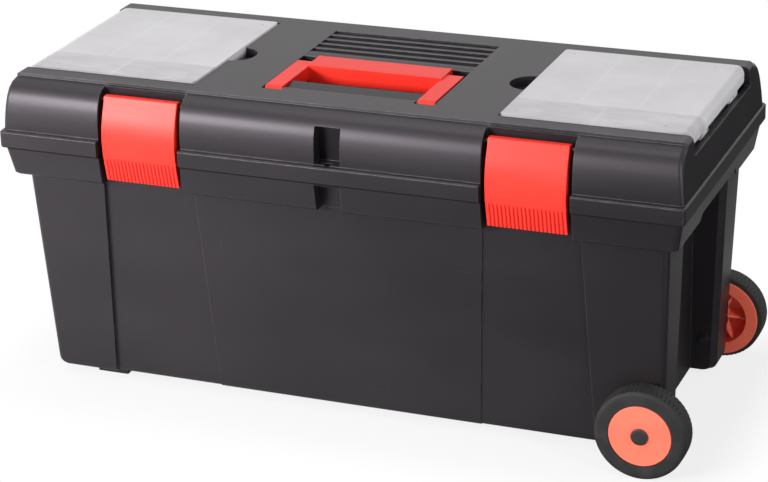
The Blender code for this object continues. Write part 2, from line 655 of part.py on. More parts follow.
def lid_outer():
    loops = []
    for step in range(CORNER_STEPS, -1, -1):
        angle = step / CORNER_STEPS * math.pi / 2
        x = -BULGE_HALF_LENGTH + LID_END_ROUND * (1 - math.sin(angle))
        inset = LID_END_ROUND * (1 - math.cos(angle))
        loops.append([(x + dome_end_draw(z), y, z) for y, z in dome_outline(inset)])
    loops += [[(-x, y, z) for x, y, z in loop] for loop in reversed(loops)]
    dome = skin("dome", loops)
    levels = ((BAND_CHAMFER / 2, LID_Z), (0.0, LID_Z + BAND_CHAMFER),
              (0.0, BAND_TOP_Z - BAND_CHAMFER), (BAND_CHAMFER, BAND_TOP_Z))
    rings = []
    for draw, z in levels:
        ring = rounded_rectangle(BAND_HALF_LENGTH - draw, BAND_HALF_WIDTH - draw, BAND_CORNER)
        rings.append([(x, y, z) for x, y in ring])
    return join(dome, skin("band", rings))


# Solid regions that the lid's hollow leaves standing, before the pockets are cut into them.
def lid_keep_blocks():
    top = PLATEAU_Z + OVERRUN
    front = -BAND_HALF_WIDTH - OVERRUN
    blocks = []
    for side in (-1, 1):
        blocks.append(block("well", sorted((side * (ORGANISER_INNER_X - SHELL),
                                            side * (BAND_HALF_LENGTH + OVERRUN))),
                            (-ORGANISER_HALF_WIDTH - SHELL, ORGANISER_HALF_WIDTH + SHELL),
                            (WELL_FLOOR_Z - SHELL, top)))
        cheek = POCKET_HALF + SHELL
        blocks.append(bar_along_x("latch", latch_pocket_outline(SHELL),
                                  (side * LATCH_X - cheek, side * LATCH_X + cheek)))
        blocks.append(rod_along_z("notch", side * (ORGANISER_INNER_X + SKIN_OVERLAP), NOTCH_CENTRE_Y,
                                  (PLATEAU_Z - NOTCH_DEPTH - SHELL, top), NOTCH_RADIUS + SHELL, 32))
        arm = sorted((side * (SLAB_HALF_WIDTH - SHELL), side * (RECESS_HALF_WIDTH + SHELL)))
        blocks.append(block("arm", arm, (RECESS_FRONT_Y - SHELL, SLAB_BACK_Y), (RECESS_FLOOR_Z - SHELL, top)))
    blocks.append(block("recess", (-RECESS_HALF_WIDTH - SHELL, RECESS_HALF_WIDTH + SHELL),
                        (SLAB_BACK_Y - SHELL, RECESS_BACK_Y + SHELL), (RECESS_FLOOR_Z - SHELL, top)))
    blocks.append(block("slab", (-SLAB_HALF_WIDTH, SLAB_HALF_WIDTH), (RECESS_FRONT_Y - SHELL, SLAB_BACK_Y),
                        (PLATEAU_Z - SLAB_DROP - SHELL, top)))
    field_end = rib_field_start() + RIB_COUNT * RIB_PITCH
    blocks.append(block("ribs", (-RECESS_HALF_WIDTH - SHELL, RECESS_HALF_WIDTH + SHELL),
                        (rib_field_start() - SHELL, field_end + SHELL), (PLATEAU_Z - RIB_DEPTH - SHELL, top)))
    notch_cheek = PADLOCK_HALF_WIDTH + SHELL
    blocks.append(block("padlock", (-notch_cheek, notch_cheek), (front, padlock_notch_back() + SHELL),
                        (BAND_TOP_Z - SHELL, PLATEAU_Z - PADLOCK_TOP_DROP + SHELL)))
    return blocks


def rib_field_start():
    return RECESS_BACK_Y + RIB_FIELD_GAP


def padlock_notch_back():
    return -(BULGE_HALF_WIDTH - PADLOCK_NOTCH_DEPTH)


# Y-Z outline of the pocket that a latch lies in; a wall above zero gives the skin behind it.
def latch_pocket_outline(wall=0.0):
    front = -BAND_HALF_WIDTH - OVERRUN - wall
    knee_low = blend(LID_Z, PLATEAU_Z, LATCH_POCKET_SHARES[0])
    knee_high = blend(LID_Z, PLATEAU_Z, LATCH_POCKET_SHARES[1])
    foot = LID_Z - OVERRUN - wall
    head = PLATEAU_Z + OVERRUN
    return [(front, foot), (POCKET_LOWER_Y + wall, foot), (POCKET_LOWER_Y + wall, knee_low),
            (POCKET_UPPER_Y + wall, knee_high), (POCKET_UPPER_Y + wall, head), (front, head)]


def lid_hollow():
    plan = rounded_rectangle(BAND_HALF_LENGTH - BAND_WALL, BAND_HALF_WIDTH - BAND_WALL,
                             BAND_CORNER - BAND_WALL)
    lower = plate("lower", plan, (LID_Z - OVERRUN, BAND_TOP_Z - SHELL))
    reach = BULGE_HALF_LENGTH - DOME_END_DRAW - SHELL
    upper = bar_along_x("upper", dome_outline(SHELL, BAND_TOP_Z - SHELL - SKIN_OVERLAP), (-reach, reach))
    hollow = join(lower, upper)
    for keep in lid_keep_blocks():
        cut(hollow, keep)
    return hollow


# Five sloping slats: each dips towards the back and ends at a riser up to the next one.
def rib_cutters():
    cutters = []
    for index in range(RIB_COUNT):
        front = rib_field_start() + index * RIB_PITCH
        back = front + RIB_PITCH
        outline = [(front, PLATEAU_Z), (back, PLATEAU_Z - RIB_DEPTH), (back, PLATEAU_Z + OVERRUN),
                   (front, PLATEAU_Z + OVERRUN)]
        cutters.append(bar_along_x("rib", outline, (-RECESS_HALF_WIDTH, RECESS_HALF_WIDTH)))
    return cutters


def cut_lid_pockets(lid):
    top = PLATEAU_Z + OVERRUN
    for side in (-1, 1):
        cut(lid, block("well", sorted((side * ORGANISER_INNER_X, side * WELL_END_X)),
                       (-ORGANISER_HALF_WIDTH, ORGANISER_HALF_WIDTH), (WELL_FLOOR_Z, top)))
        cut(lid, block("end_opening", sorted((side * (WELL_END_X - SHELL),
                                              side * (BULGE_HALF_LENGTH + OVERRUN))),
                       (-ORGANISER_HALF_WIDTH, ORGANISER_HALF_WIDTH), (END_RAIL_Z, top)))
        cut(lid, bar_along_x("latch", latch_pocket_outline(),
                             (side * LATCH_X - POCKET_HALF, side * LATCH_X + POCKET_HALF)))
        notch_x = side * (ORGANISER_INNER_X + SKIN_OVERLAP)
        cut(lid, rod_along_z("notch", notch_x, NOTCH_CENTRE_Y, (PLATEAU_Z - NOTCH_DEPTH, top), NOTCH_RADIUS,
                             32))
        arm = sorted((side * SLAB_HALF_WIDTH, side * RECESS_HALF_WIDTH))
        cut(lid, block("arm", arm, (RECESS_FRONT_Y, SLAB_BACK_Y + SHELL), (RECESS_FLOOR_Z, top)))
        latch_bore = (side * LATCH_X - POCKET_HALF - SHELL + SEAT_GAP,
                      side * LATCH_X + POCKET_HALF + SHELL - SEAT_GAP)
        cut(lid, rod_along_x("latch_bore", latch_bore, LATCH_PIN_Y, LATCH_PIN_Z, LATCH_PIN_RADIUS + RUN_GAP))
        handle_bore = sorted((side * (SLAB_HALF_WIDTH - SHELL + SEAT_GAP),
                              side * (RECESS_HALF_WIDTH + SHELL - SEAT_GAP)))
        cut(lid, rod_along_x("handle_bore", handle_bore, HANDLE_PIVOT_Y, HANDLE_PIVOT_Z,
                             HANDLE_PIN_RADIUS + RUN_GAP))
    cut(lid, block("recess", (-RECESS_HALF_WIDTH, RECESS_HALF_WIDTH), (SLAB_BACK_Y, RECESS_BACK_Y),
                   (RECESS_FLOOR_Z, top)))
    slab_end = SLAB_BACK_Y + SKIN_OVERLAP
    ramp = [(SLAB_FRONT_Y, PLATEAU_Z - SLAB_DROP), (slab_end, PLATEAU_Z - SLAB_LIP),
            (slab_end, top), (SLAB_FRONT_Y, top)]
    cut(lid, bar_along_x("slab", ramp, (-SLAB_HALF_WIDTH - SKIN_OVERLAP, SLAB_HALF_WIDTH + SKIN_OVERLAP)))
    for cutter in rib_cutters():
        cut(lid, cutter)
    cut(lid, block("padlock", (-PADLOCK_HALF_WIDTH, PADLOCK_HALF_WIDTH),
                   (-BAND_HALF_WIDTH - OVERRUN, padlock_notch_back()),
                   (BAND_TOP_Z + SEAT_GAP, PLATEAU_Z - PADLOCK_TOP_DROP)))
    cut(lid, rod_along_z("padlock_hole", 0.0, padlock_hole_y(), (LID_Z - OVERRUN, BAND_TOP_Z + OVERRUN),
                         PADLOCK_HOLE_RADIUS))


def make_lid(material, parent):
    lid = lid_outer()
    cut(lid, lid_hollow())
    cut_lid_pockets(lid)
    add_knuckles(lid, True)
    return finish(lid, "lid", material, parent, (0.0, HINGE_Y, HINGE_Z))


def make_hinge_pins(material, parent):
    for label, side in (("left", -1), ("right", 1)):
        spans = hinge_knuckle_spans(side * HINGE_STATION_X, False)
        pin = rod_along_x("pin", (spans[0][0], spans[1][1]), HINGE_Y, HINGE_Z, HINGE_PIN_RADIUS)
        finish(pin, "hinge_pin_" + label, material, parent, (side * HINGE_STATION_X, HINGE_Y, HINGE_Z))


def latch_face_point(reach_share, drop_share, draw=0.0):
    return (LATCH_PIN_Y - LATCH_REACH * reach_share + draw, LATCH_PIN_Z - LATCH_DROP * drop_share)


# Side view of a latch: curved face, hollow back, and a round hub on the pin at the top.
def latch_outline():
    outline = [latch_face_point(*share) for share in LATCH_FACE_SHARES + LATCH_BACK_SHARES]
    steps = CORNER_STEPS * 2
    for step in range(steps + 1):
        angle = -math.pi / 3 + step / steps * (math.pi / 3 + math.pi / 2)
        outline.append((LATCH_PIN_Y + LATCH_HUB_RADIUS * math.cos(angle),
                        LATCH_PIN_Z + LATCH_HUB_RADIUS * math.sin(angle)))
    outline.append((LATCH_PIN_Y - LATCH_HUB_RADIUS, LATCH_PIN_Z + LATCH_HUB_RADIUS))
    return outline


def latch_hollow(side):
    low, high = LATCH_HOLLOW_SHARES
    outline = [latch_face_point(reach, drop, LATCH_WALL)
               for reach, drop in LATCH_FACE_SHARES if low <= drop <= high]
    outline.append((LATCH_PIN_Y + LATCH_HUB_RADIUS + OVERRUN, LATCH_PIN_Z - LATCH_DROP * high))
    outline.append((LATCH_PIN_Y + LATCH_HUB_RADIUS + OVERRUN, LATCH_PIN_Z - LATCH_DROP * low))
    half = LATCH_WIDTH / 2 - LATCH_WALL
    return bar_along_x("hollow", outline, (side * LATCH_X - half, side * LATCH_X + half))


def latch_grooves(side):
    pitch = LATCH_WIDTH / (LATCH_GROOVES + 1)
    start = LATCH_PIN_Z - LATCH_DROP * GROOVE_START_SHARE
    faces = [share for share in LATCH_FACE_SHARES if share[1] > GROOVE_START_SHARE]
    first = LATCH_PIN_Y - LATCH_REACH + LATCH_GROOVE_DEPTH
    outline = [(first, start)]
    outline += [latch_face_point(reach, drop, LATCH_GROOVE_DEPTH) for reach, drop in faces]
    last_y, last_z = outline[-1]
    outline.append((last_y, last_z - OVERRUN))
    outline.append((first - OVERRUN, last_z - OVERRUN))
    outline.append((first - OVERRUN, start))
    grooves = []
    for index in range(LATCH_GROOVES):
        middle = side * LATCH_X - LATCH_WIDTH / 2 + pitch * (index + 1)
        half = pitch * GROOVE_WIDTH_SHARE / 2
        grooves.append(bar_along_x("groove", outline, (middle - half, middle + half)))
    return grooves


def make_latch(label, side, red, black, parent):
    centre = side * LATCH_X
    half = LATCH_WIDTH / 2
    latch = bar_along_x("latch", latch_outline(), (centre - half, centre + half))
    cut(latch, latch_hollow(side))
    for groove in latch_grooves(side):
        cut(latch, groove)
    hook_y = NOSE_Y - LATCH_HOOK_GAP
    hook_high = LATCH_PIN_Z - LATCH_DROP * LATCH_HOLLOW_SHARES[1] - SKIN_OVERLAP
    hook_low = LATCH_PIN_Z - LATCH_DROP * LATCH_BACK_SHARES[1][1] + SKIN_OVERLAP
    hook_root = LATCH_PIN_Y - LATCH_REACH * LATCH_BACK_SHARES[1][0] - SKIN_OVERLAP
    if hook_y > hook_root:
        join(latch, block("hook", (centre - half / 2, centre + half / 2), (hook_root, hook_y),
                          (hook_low, hook_high)))
    reach = (centre - half - OVERRUN, centre + half + OVERRUN)
    cut(latch, rod_along_x("bore", reach, LATCH_PIN_Y, LATCH_PIN_Z, LATCH_PIN_RADIUS + RUN_GAP))
    finish(latch, "latch_" + label, red, parent, (centre, LATCH_PIN_Y, LATCH_PIN_Z))
    pin_half = POCKET_HALF + SHELL - SEAT_GAP * 2
    pin = rod_along_x("pin", (centre - pin_half, centre + pin_half), LATCH_PIN_Y, LATCH_PIN_Z,
                      LATCH_PIN_RADIUS)
    finish(pin, "latch_pin_" + label, black, parent, (centre, LATCH_PIN_Y, LATCH_PIN_Z))


def arm_outline():
    top = HANDLE_PIVOT_Z + HANDLE_END_RADIUS
    low = top - HANDLE_ARM_THICKNESS
    outline = []
    steps = CORNER_STEPS * 2
    sweep = math.pi / 2 + math.asin((HANDLE_ARM_THICKNESS - HANDLE_END_RADIUS) / HANDLE_END_RADIUS)
    for step in range(steps + 1):
        angle = math.pi / 2 + sweep * step / steps
        outline.append((HANDLE_PIVOT_Y + HANDLE_END_RADIUS * math.cos(angle),
                        HANDLE_PIVOT_Z + HANDLE_END_RADIUS * math.sin(angle)))
    outline.append((HANDLE_BACK_Y - HANDLE_ARM_SETBACK, low))
    outline.append((HANDLE_BACK_Y - HANDLE_ARM_SETBACK, top))
    return outline


def make_handle(red, steel, parent):
    inner = HANDLE_HALF_WIDTH - HANDLE_ARM_WIDTH
    handle = bar_along_x("arm", arm_outline(), (-HANDLE_HALF_WIDTH, -inner))
    join(handle, bar_along_x("arm", arm_outline(), (inner, HANDLE_HALF_WIDTH)))
    top = PLATEAU_Z + GRIP_PROUD
    grip = block("grip", (-inner - SKIN_OVERLAP, inner + SKIN_OVERLAP),
                 (HANDLE_BACK_Y - GRIP_DEPTH, HANDLE_BACK_Y),
                 (top - GRIP_HEIGHT, top))
    join(handle, grip)
    for side in (-1, 1):
        span = sorted((side * (inner - OVERRUN / 2), side * (HANDLE_HALF_WIDTH + OVERRUN / 2)))
        cut(handle, rod_along_x("bore", span, HANDLE_PIVOT_Y, HANDLE_PIVOT_Z, HANDLE_PIN_RADIUS + RUN_GAP))
    finish(handle, "carry_handle", red, parent, (0.0, HANDLE_PIVOT_Y, HANDLE_PIVOT_Z))
    for label, side in (("left", -1), ("right", 1)):
        ends = sorted((side * (SLAB_HALF_WIDTH - SHELL + SEAT_GAP * 2),
                       side * (RECESS_HALF_WIDTH + SHELL - SEAT_GAP * 2)))
        pin = rod_along_x("pin", ends, HANDLE_PIVOT_Y, HANDLE_PIVOT_Z, HANDLE_PIN_RADIUS)
        finish(pin, "handle_pin_" + label, steel, parent,
               (side * (inner + HANDLE_ARM_WIDTH / 2), HANDLE_PIVOT_Y, HANDLE_PIVOT_Z))


def cover_hinge_span(side_y, moving):
    centre = side_y * COVER_HINGE_SPREAD
    if moving:
        return (centre - COVER_KNUCKLE / 2, centre + COVER_KNUCKLE / 2)
    inner = centre - side_y * (COVER_KNUCKLE / 2 + RUN_GAP)
    return tuple(sorted((inner, inner - side_y * COVER_KNUCKLE)))


# Organiser: a drop-in compartment box with two ears that carry the pins of its clear cover.
def make_organiser_box(material, parent):
    floor = WELL_FLOOR_Z + SEAT_GAP
    outer = (BOX_INNER_X + COVER_SKIRT_WALL + BOX_SWING_GAP, BOX_END_X)
    half = BOX_HALF_WIDTH - COVER_SKIRT_WALL - SEAT_GAP
    middle_x = (outer[0] + outer[1]) / 2
    plan = rounded_rectangle(outer[1] - middle_x, half, BOX_CORNER)
    box = plate("box", [(middle_x + x, y) for x, y in plan], (floor, BOX_TOP_Z))
    row = blend(-half, half, ORGANISER_ROW_SHARE)
    length = outer[1] - outer[0]
    rows = ((-half + BOX_WALL, row - BOX_WALL / 2, 2), (row + BOX_WALL / 2, half - BOX_WALL, 3))
    for low_y, high_y, count in rows:
        cell = (length - BOX_WALL * (count + 1)) / count
        for index in range(count):
            low_x = outer[0] + BOX_WALL + index * (cell + BOX_WALL)
            cut(box, block("cell", (low_x, low_x + cell), (low_y, high_y),
                           (floor + BOX_WALL, BOX_TOP_Z + OVERRUN)))
    for side in (-1, 1):
        ear = block("ear", (BOX_END_X - BOX_WALL / 2, COVER_HINGE_X), cover_hinge_span(side, False),
                    (COVER_HINGE_Z - COVER_HINGE_RADIUS, COVER_HINGE_Z + COVER_HINGE_RADIUS))
        join(box, ear)
        join(box, rod_along_y("ear", COVER_HINGE_X, cover_hinge_span(side, False), COVER_HINGE_Z,
                              COVER_HINGE_RADIUS, 16))
        span = cover_hinge_span(side, False)
        root = span[1] if side > 0 else span[0]
        tip = root + side * COVER_KNUCKLE
        join(box, rod_along_y("pin", COVER_HINGE_X, sorted((root - side * SKIN_OVERLAP, tip)),
                              COVER_HINGE_Z, COVER_HINGE_PIN, 12))
    left = mirrored_x(box, "left")
    finish(box, "organiser_box_right", material, parent)
    finish(left, "organiser_box_left", material, parent)


# Plan of the cover with its four corners rounded, drawn in all round for the inner face.
def cover_plan(draw):
    points = []
    half = BOX_HALF_WIDTH - draw
    corners = ((COVER_OUTER_X - draw, half, COVER_OUTER_CORNER, 0),
               (BOX_INNER_X + draw, half, COVER_INNER_CORNER, 1),
               (BOX_INNER_X + draw, -half, COVER_INNER_CORNER, 2),
               (COVER_OUTER_X - draw, -half, COVER_OUTER_CORNER, 3))
    for x, y, radius, quarter in corners:
        bend = radius - draw
        centre_x = x - bend if quarter in (0, 3) else x + bend
        centre_y = y - bend if quarter < 2 else y + bend
        for step in range(CORNER_STEPS + 1):
            angle = (quarter + step / CORNER_STEPS) * math.pi / 2
            points.append((centre_x + bend * math.cos(angle), centre_y + bend * math.sin(angle)))
    return points


# Side view of the cover: flat on top, falling over the outer end in a quarter round.
def cover_side(draw, drop, low):
    top = COVER_TOP_Z - drop
    end = COVER_OUTER_X - draw
    bend = COVER_END_ROUND - drop
    outline = [(BOX_INNER_X + draw, low), (BOX_INNER_X + draw, top)]
    for step in range(CORNER_STEPS + 1):
        angle = (1 - step / CORNER_STEPS) * math.pi / 2
        outline.append((end - bend + bend * math.cos(angle), top - bend + bend * math.sin(angle)))
    outline.append((end, low))
    return outline


def make_organiser_cover(material, parent):
    wide = (-BOX_HALF_WIDTH - OVERRUN, BOX_HALF_WIDTH + OVERRUN)
    tall = (COVER_LOW_Z - OVERRUN, COVER_TOP_Z + OVERRUN)
    cover = bar_along_y("cover", cover_side(0.0, 0.0, COVER_LOW_Z), wide)
    keep_common(cover, plate("plan", cover_plan(0.0), tall))
    inside = bar_along_y("inside", cover_side(COVER_SKIRT_WALL, COVER_THICKNESS, COVER_LOW_Z - OVERRUN / 2),
                         wide)
    keep_common(inside, plate("plan", cover_plan(COVER_SKIRT_WALL), tall))
    cut(cover, inside)
    for side in (-1, 1):
        span = cover_hinge_span(side, True)
        join(cover, block("arm", (COVER_HINGE_X, COVER_OUTER_X), span,
                          (COVER_HINGE_Z, COVER_LOW_Z + SKIN_OVERLAP)))
        join(cover, rod_along_y("knuckle", COVER_HINGE_X, span, COVER_HINGE_Z, COVER_HINGE_RADIUS, 16))
        bore = (span[0] - RUN_GAP, span[1] + RUN_GAP)
        cut(cover, rod_along_y("bore", COVER_HINGE_X, bore, COVER_HINGE_Z, COVER_HINGE_PIN + RUN_GAP, 12))
    left = mirrored_x(cover, "left")
    finish(cover, "organiser_cover_right", material, parent, (COVER_HINGE_X, 0.0, COVER_HINGE_Z))
    finish(left, "organiser_cover_left", material, parent, (-COVER_HINGE_X, 0.0, COVER_HINGE_Z))


# Lift-out tray: an open trough with end flanges on the tub's ledges and a carrying bar along the middle.
def make_tray(material, parent):
    flange_x = OPENING_HALF_LENGTH - TRAY_SIDE_GAP
    body_x = OPENING_HALF_LENGTH - TRAY_LEDGE - SEAT_GAP - TRAY_WALL
    half = OPENING_HALF_WIDTH - TRAY_SIDE_GAP
    levels = ((TRAY_TAPER, TRAY_FLOOR_Z), (0.0, TRAY_TOP_Z))
    body_y = half - TRAY_FLANGE
    tray = skin("tray", [rounded_level(body_x - draw, body_y - draw, COLUMN_CORNER, z) for draw, z in levels])
    flange = plate("flange", rounded_rectangle(flange_x, half, COLUMN_CORNER),
                   (TRAY_TOP_Z - TRAY_WALL, TRAY_TOP_Z))
    join(tray, flange)
    inner = ((TRAY_TAPER, TRAY_FLOOR_Z + TRAY_WALL), (0.0, TRAY_TOP_Z + SKIN_OVERLAP))
    trough_x = body_x - TRAY_WALL
    trough_y = body_y - TRAY_WALL
    cut(tray, skin("trough", [rounded_level(trough_x - draw, trough_y - draw, COLUMN_CORNER - TRAY_WALL, z)
                              for draw, z in inner]))
    wall_low = TRAY_FLOOR_Z + TRAY_WALL / 2
    for side in (-1, 1):
        x = side * TRAY_HANDLE_HALF_SPAN
        join(tray, block("bulkhead", (x - TRAY_WALL / 2, x + TRAY_WALL / 2),
                         (TRAY_WALL / 2 - body_y, body_y - TRAY_WALL / 2),
                         (wall_low, TRAY_TOP_Z - TRAY_WALL)))
    join(tray, block("bar", (-TRAY_HANDLE_HALF_SPAN - TRAY_WALL, TRAY_HANDLE_HALF_SPAN + TRAY_WALL),
                     (-TRAY_HANDLE_WIDTH / 2, TRAY_HANDLE_WIDTH / 2),
                     (TRAY_TOP_Z - TRAY_HANDLE_THICKNESS, TRAY_TOP_Z)))
    finish(tray, "lift_out_tray", material, parent)


# Turns a closed (radius, distance along the axle) outline round a line along Y, outwards from outer_y.
def turned(name, outline, side, steps):
    bm = bmesh.new()
    rings = []
    for index in range(steps):
        angle = math.tau * index / steps
        ring = []
        for radius, distance in outline:
            y = side * (WHEEL_OUTER_Y - distance)
            ring.append(bm.verts.new((WHEEL_X + radius * math.cos(angle), y,
                                      AXLE_Z + radius * math.sin(angle))))
        rings.append(ring)
    for index in range(steps):
        near = rings[index]
        far = rings[(index + 1) % steps]
        for point in range(len(outline)):
            following = (point + 1) % len(outline)
            bm.faces.new((near[point], near[following], far[following], far[point]))
    return new_object(name, bm)


def rim_outline():
    bore = AXLE_RADIUS + RUN_GAP
    ring_start = WHEEL_WIDTH - RIM_RING_WIDTH
    return [(bore, 0.0), (RIM_FACE_RADIUS, 0.0), (RIM_FACE_RADIUS + RIM_BEVEL, RIM_BEVEL),
            (RIM_FACE_RADIUS + RIM_BEVEL, RIM_FACE_THICKNESS), (RIM_SEAT_RADIUS, RIM_SHOULDER),
            (RIM_SEAT_RADIUS, ring_start), (RIM_RING_RADIUS, ring_start), (RIM_RING_RADIUS, WHEEL_WIDTH),
            (RIM_INNER_RADIUS, WHEEL_WIDTH), (RIM_INNER_RADIUS, RIM_FACE_THICKNESS),
            (RIM_HUB_RADIUS, RIM_FACE_THICKNESS), (RIM_HUB_RADIUS, WHEEL_WIDTH), (bore, WHEEL_WIDTH)]


def tyre_outline():
    seat = RIM_SEAT_RADIUS + SEAT_GAP
    lip = RIM_FACE_RADIUS + RIM_BEVEL + SEAT_GAP
    back = WHEEL_WIDTH - RIM_RING_WIDTH - SEAT_GAP
    outline = [(lip, RIM_BEVEL)]
    for radius_share, depth_share in TYRE_SECTION_SHARES:
        outline.append((blend(lip, TYRE_RADIUS, radius_share), back * depth_share))
    outline += [(seat, back), (seat, RIM_SHOULDER - SEAT_GAP), (lip, RIM_FACE_THICKNESS - SEAT_GAP)]
    return outline


def make_wheel(label, side, materials, parent):
    axis = (WHEEL_X, side * WHEEL_OUTER_Y, AXLE_Z)
    rim = turned("rim", rim_outline(), side, 48)
    for index in range(SPOKE_COUNT):
        angle = math.tau * index / SPOKE_COUNT
        near = side * (WHEEL_OUTER_Y - RIM_FACE_THICKNESS + SKIN_OVERLAP)
        far = side * (WHEEL_OUTER_Y - RIM_FACE_THICKNESS - SPOKE_HEIGHT)
        spoke = block("spoke", (RIM_HUB_RADIUS - SKIN_OVERLAP, RIM_INNER_RADIUS + SKIN_OVERLAP),
                      sorted((near, far)), (-SPOKE_THICKNESS / 2, SPOKE_THICKNESS / 2))
        spoke.data.transform(Matrix.Translation((WHEEL_X, 0.0, AXLE_Z)) @ Matrix.Rotation(angle, 4, "Y"))
        join(rim, spoke)
    finish(rim, "wheel_rim_" + label, materials["orange_red"], parent, axis)
    finish(turned("tyre", tyre_outline(), side, 56), "wheel_tyre_" + label, materials["rubber"], parent, axis)
    face = WHEEL_OUTER_Y + SEAT_GAP
    axle_end = WHEEL_OUTER_Y + CAP_HEIGHT / 2
    cap = rod_along_y("cap", WHEEL_X, sorted((side * face, side * (face + CAP_HEIGHT))), AXLE_Z, CAP_RADIUS)
    cut(cap, rod_along_y("socket", WHEEL_X, sorted((side * (face - OVERRUN), side * (axle_end + SEAT_GAP))),
                         AXLE_Z,
                         AXLE_RADIUS + SEAT_GAP, 24))
    finish(cap, "hub_cap_" + label, materials["cap_black"], parent, axis)
    axle = rod_along_y("axle", WHEEL_X, sorted((side * AXLE_INNER_Y, side * axle_end)), AXLE_Z, AXLE_RADIUS,
                       24)
    finish(axle, "axle_" + label, materials["steel"], parent, axis)
    washer_far = BOSS_Y + SEAT_GAP + WASHER_THICKNESS
    make_ring("washer_" + label, side * (BOSS_Y + SEAT_GAP), side * washer_far, WASHER_RADIUS,
              materials["steel"], parent)
    clip_near = END_RECESS_HALF - SEAT_GAP
    make_ring("axle_clip_" + label, side * clip_near, side * (clip_near - CLIP_THICKNESS), CLIP_RADIUS,
              materials["steel"], parent)


def make_ring(name, y_one, y_two, radius, material, parent):
    ring = rod_along_y("ring", WHEEL_X, sorted((y_one, y_two)), AXLE_Z, radius)
    cut(ring, rod_along_y("bore", WHEEL_X, (min(y_one, y_two) - OVERRUN, max(y_one, y_two) + OVERRUN), AXLE_Z,
                          AXLE_RADIUS + RUN_GAP, 24))
    finish(ring, name, material, parent, (WHEEL_X, y_one, AXLE_Z))


def build():
    remove_everything()
    materials = {
        "black": plain_material("black_plastic", BLACK, 0.42),
        "tray": plain_material("tray_plastic", BLACK, 0.50),
        "red": plain_material("red_plastic", RED, 0.35),
        "orange_red": plain_material("wheel_plastic", ORANGE_RED, 0.38),
        "frosted": plain_material("frosted_plastic", FROSTED, 0.30, 0.0, 0.75),
        "rubber": plain_material("tyre_rubber", RUBBER, 0.70),
        "steel": plain_material("zinc_steel", STEEL, 0.35, 1.0),
        "cap_black": plain_material("cap_plastic", CAP_BLACK, 0.45),
    }
    toolbox = bpy.data.objects.new("toolbox", None)
    bpy.context.collection.objects.link(toolbox)
    toolbox.location = (BODY_SHIFT_X, BODY_SHIFT_Y, 0.0)
    make_tub(materials["black"], toolbox)
    make_lid(materials["black"], toolbox)
    make_hinge_pins(materials["steel"], toolbox)
    for label, side in (("left", -1), ("right", 1)):
        make_latch(label, side, materials["red"], materials["cap_black"], toolbox)
    make_handle(materials["red"], materials["steel"], toolbox)
    make_organiser_box(materials["frosted"], toolbox)
    make_organiser_cover(materials["frosted"], toolbox)
    make_tray(materials["tray"], toolbox)
    for label, side in (("front", -1), ("back", 1)):
        make_wheel(label, side, materials, toolbox)


build()
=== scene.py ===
# Looks of the rolling toolbox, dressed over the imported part.
# Metres: +X towards the wheels, -Y towards the latches, +Z up.
import math

import bmesh
import bpy
from mathutils import Matrix, Vector


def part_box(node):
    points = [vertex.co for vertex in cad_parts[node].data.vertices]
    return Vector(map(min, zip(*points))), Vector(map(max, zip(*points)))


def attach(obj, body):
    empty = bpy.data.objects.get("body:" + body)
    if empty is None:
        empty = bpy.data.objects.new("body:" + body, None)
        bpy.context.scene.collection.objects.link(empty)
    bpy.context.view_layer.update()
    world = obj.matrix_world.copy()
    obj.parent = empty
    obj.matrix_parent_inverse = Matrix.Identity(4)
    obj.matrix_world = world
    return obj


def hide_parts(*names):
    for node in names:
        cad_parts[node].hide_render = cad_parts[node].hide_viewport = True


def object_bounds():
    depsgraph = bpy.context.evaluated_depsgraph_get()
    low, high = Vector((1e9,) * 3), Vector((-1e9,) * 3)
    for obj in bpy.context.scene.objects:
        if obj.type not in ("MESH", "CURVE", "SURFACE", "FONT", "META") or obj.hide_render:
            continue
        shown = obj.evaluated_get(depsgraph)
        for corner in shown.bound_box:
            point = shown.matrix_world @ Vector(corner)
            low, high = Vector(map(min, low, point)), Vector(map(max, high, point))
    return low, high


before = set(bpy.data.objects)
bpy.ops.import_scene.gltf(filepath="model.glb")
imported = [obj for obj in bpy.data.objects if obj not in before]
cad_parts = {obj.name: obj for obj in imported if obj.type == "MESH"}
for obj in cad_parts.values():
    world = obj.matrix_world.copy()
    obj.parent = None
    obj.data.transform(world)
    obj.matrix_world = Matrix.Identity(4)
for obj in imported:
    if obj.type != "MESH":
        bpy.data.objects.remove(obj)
cadLow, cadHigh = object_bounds()
scene = bpy.context.scene
print("frame loaded,", len(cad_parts), "solids")


class Wire:  # an output socket; arithmetic on it adds Math nodes
    def __init__(self, owner, socket):
        self.owner = owner
        self.socket = socket

    def calc(self, operation, *values):
        return self.owner.node("ShaderNodeMath", {"operation": operation}, dict(enumerate(values)))

    def __add__(self, other):
        return self.calc("ADD", self, other)

    def __radd__(self, other):
        return self.calc("ADD", other, self)

    def __sub__(self, other):
        return self.calc("SUBTRACT", self, other)

    def __rsub__(self, other):
        return self.calc("SUBTRACT", other, self)

    def __mul__(self, other):
        return self.calc("MULTIPLY", self, other)

    def __rmul__(self, other):
        return self.calc("MULTIPLY", other, self)

    def __pow__(self, other):
        return self.calc("POWER", self, other)

    def size(self):
        return self.calc("ABSOLUTE", self)

    def atLeast(self, low):
        return self.calc("MAXIMUM", self, low)

    def atMost(self, high):
        return self.calc("MINIMUM", self, high)

    def between(self, low, high):  # 0 below low, 1 above high, smooth in between
        return self.owner.node("ShaderNodeMapRange", {"interpolation_type": "SMOOTHSTEP"},
                               {"Value": self, "From Min": low, "From Max": high})


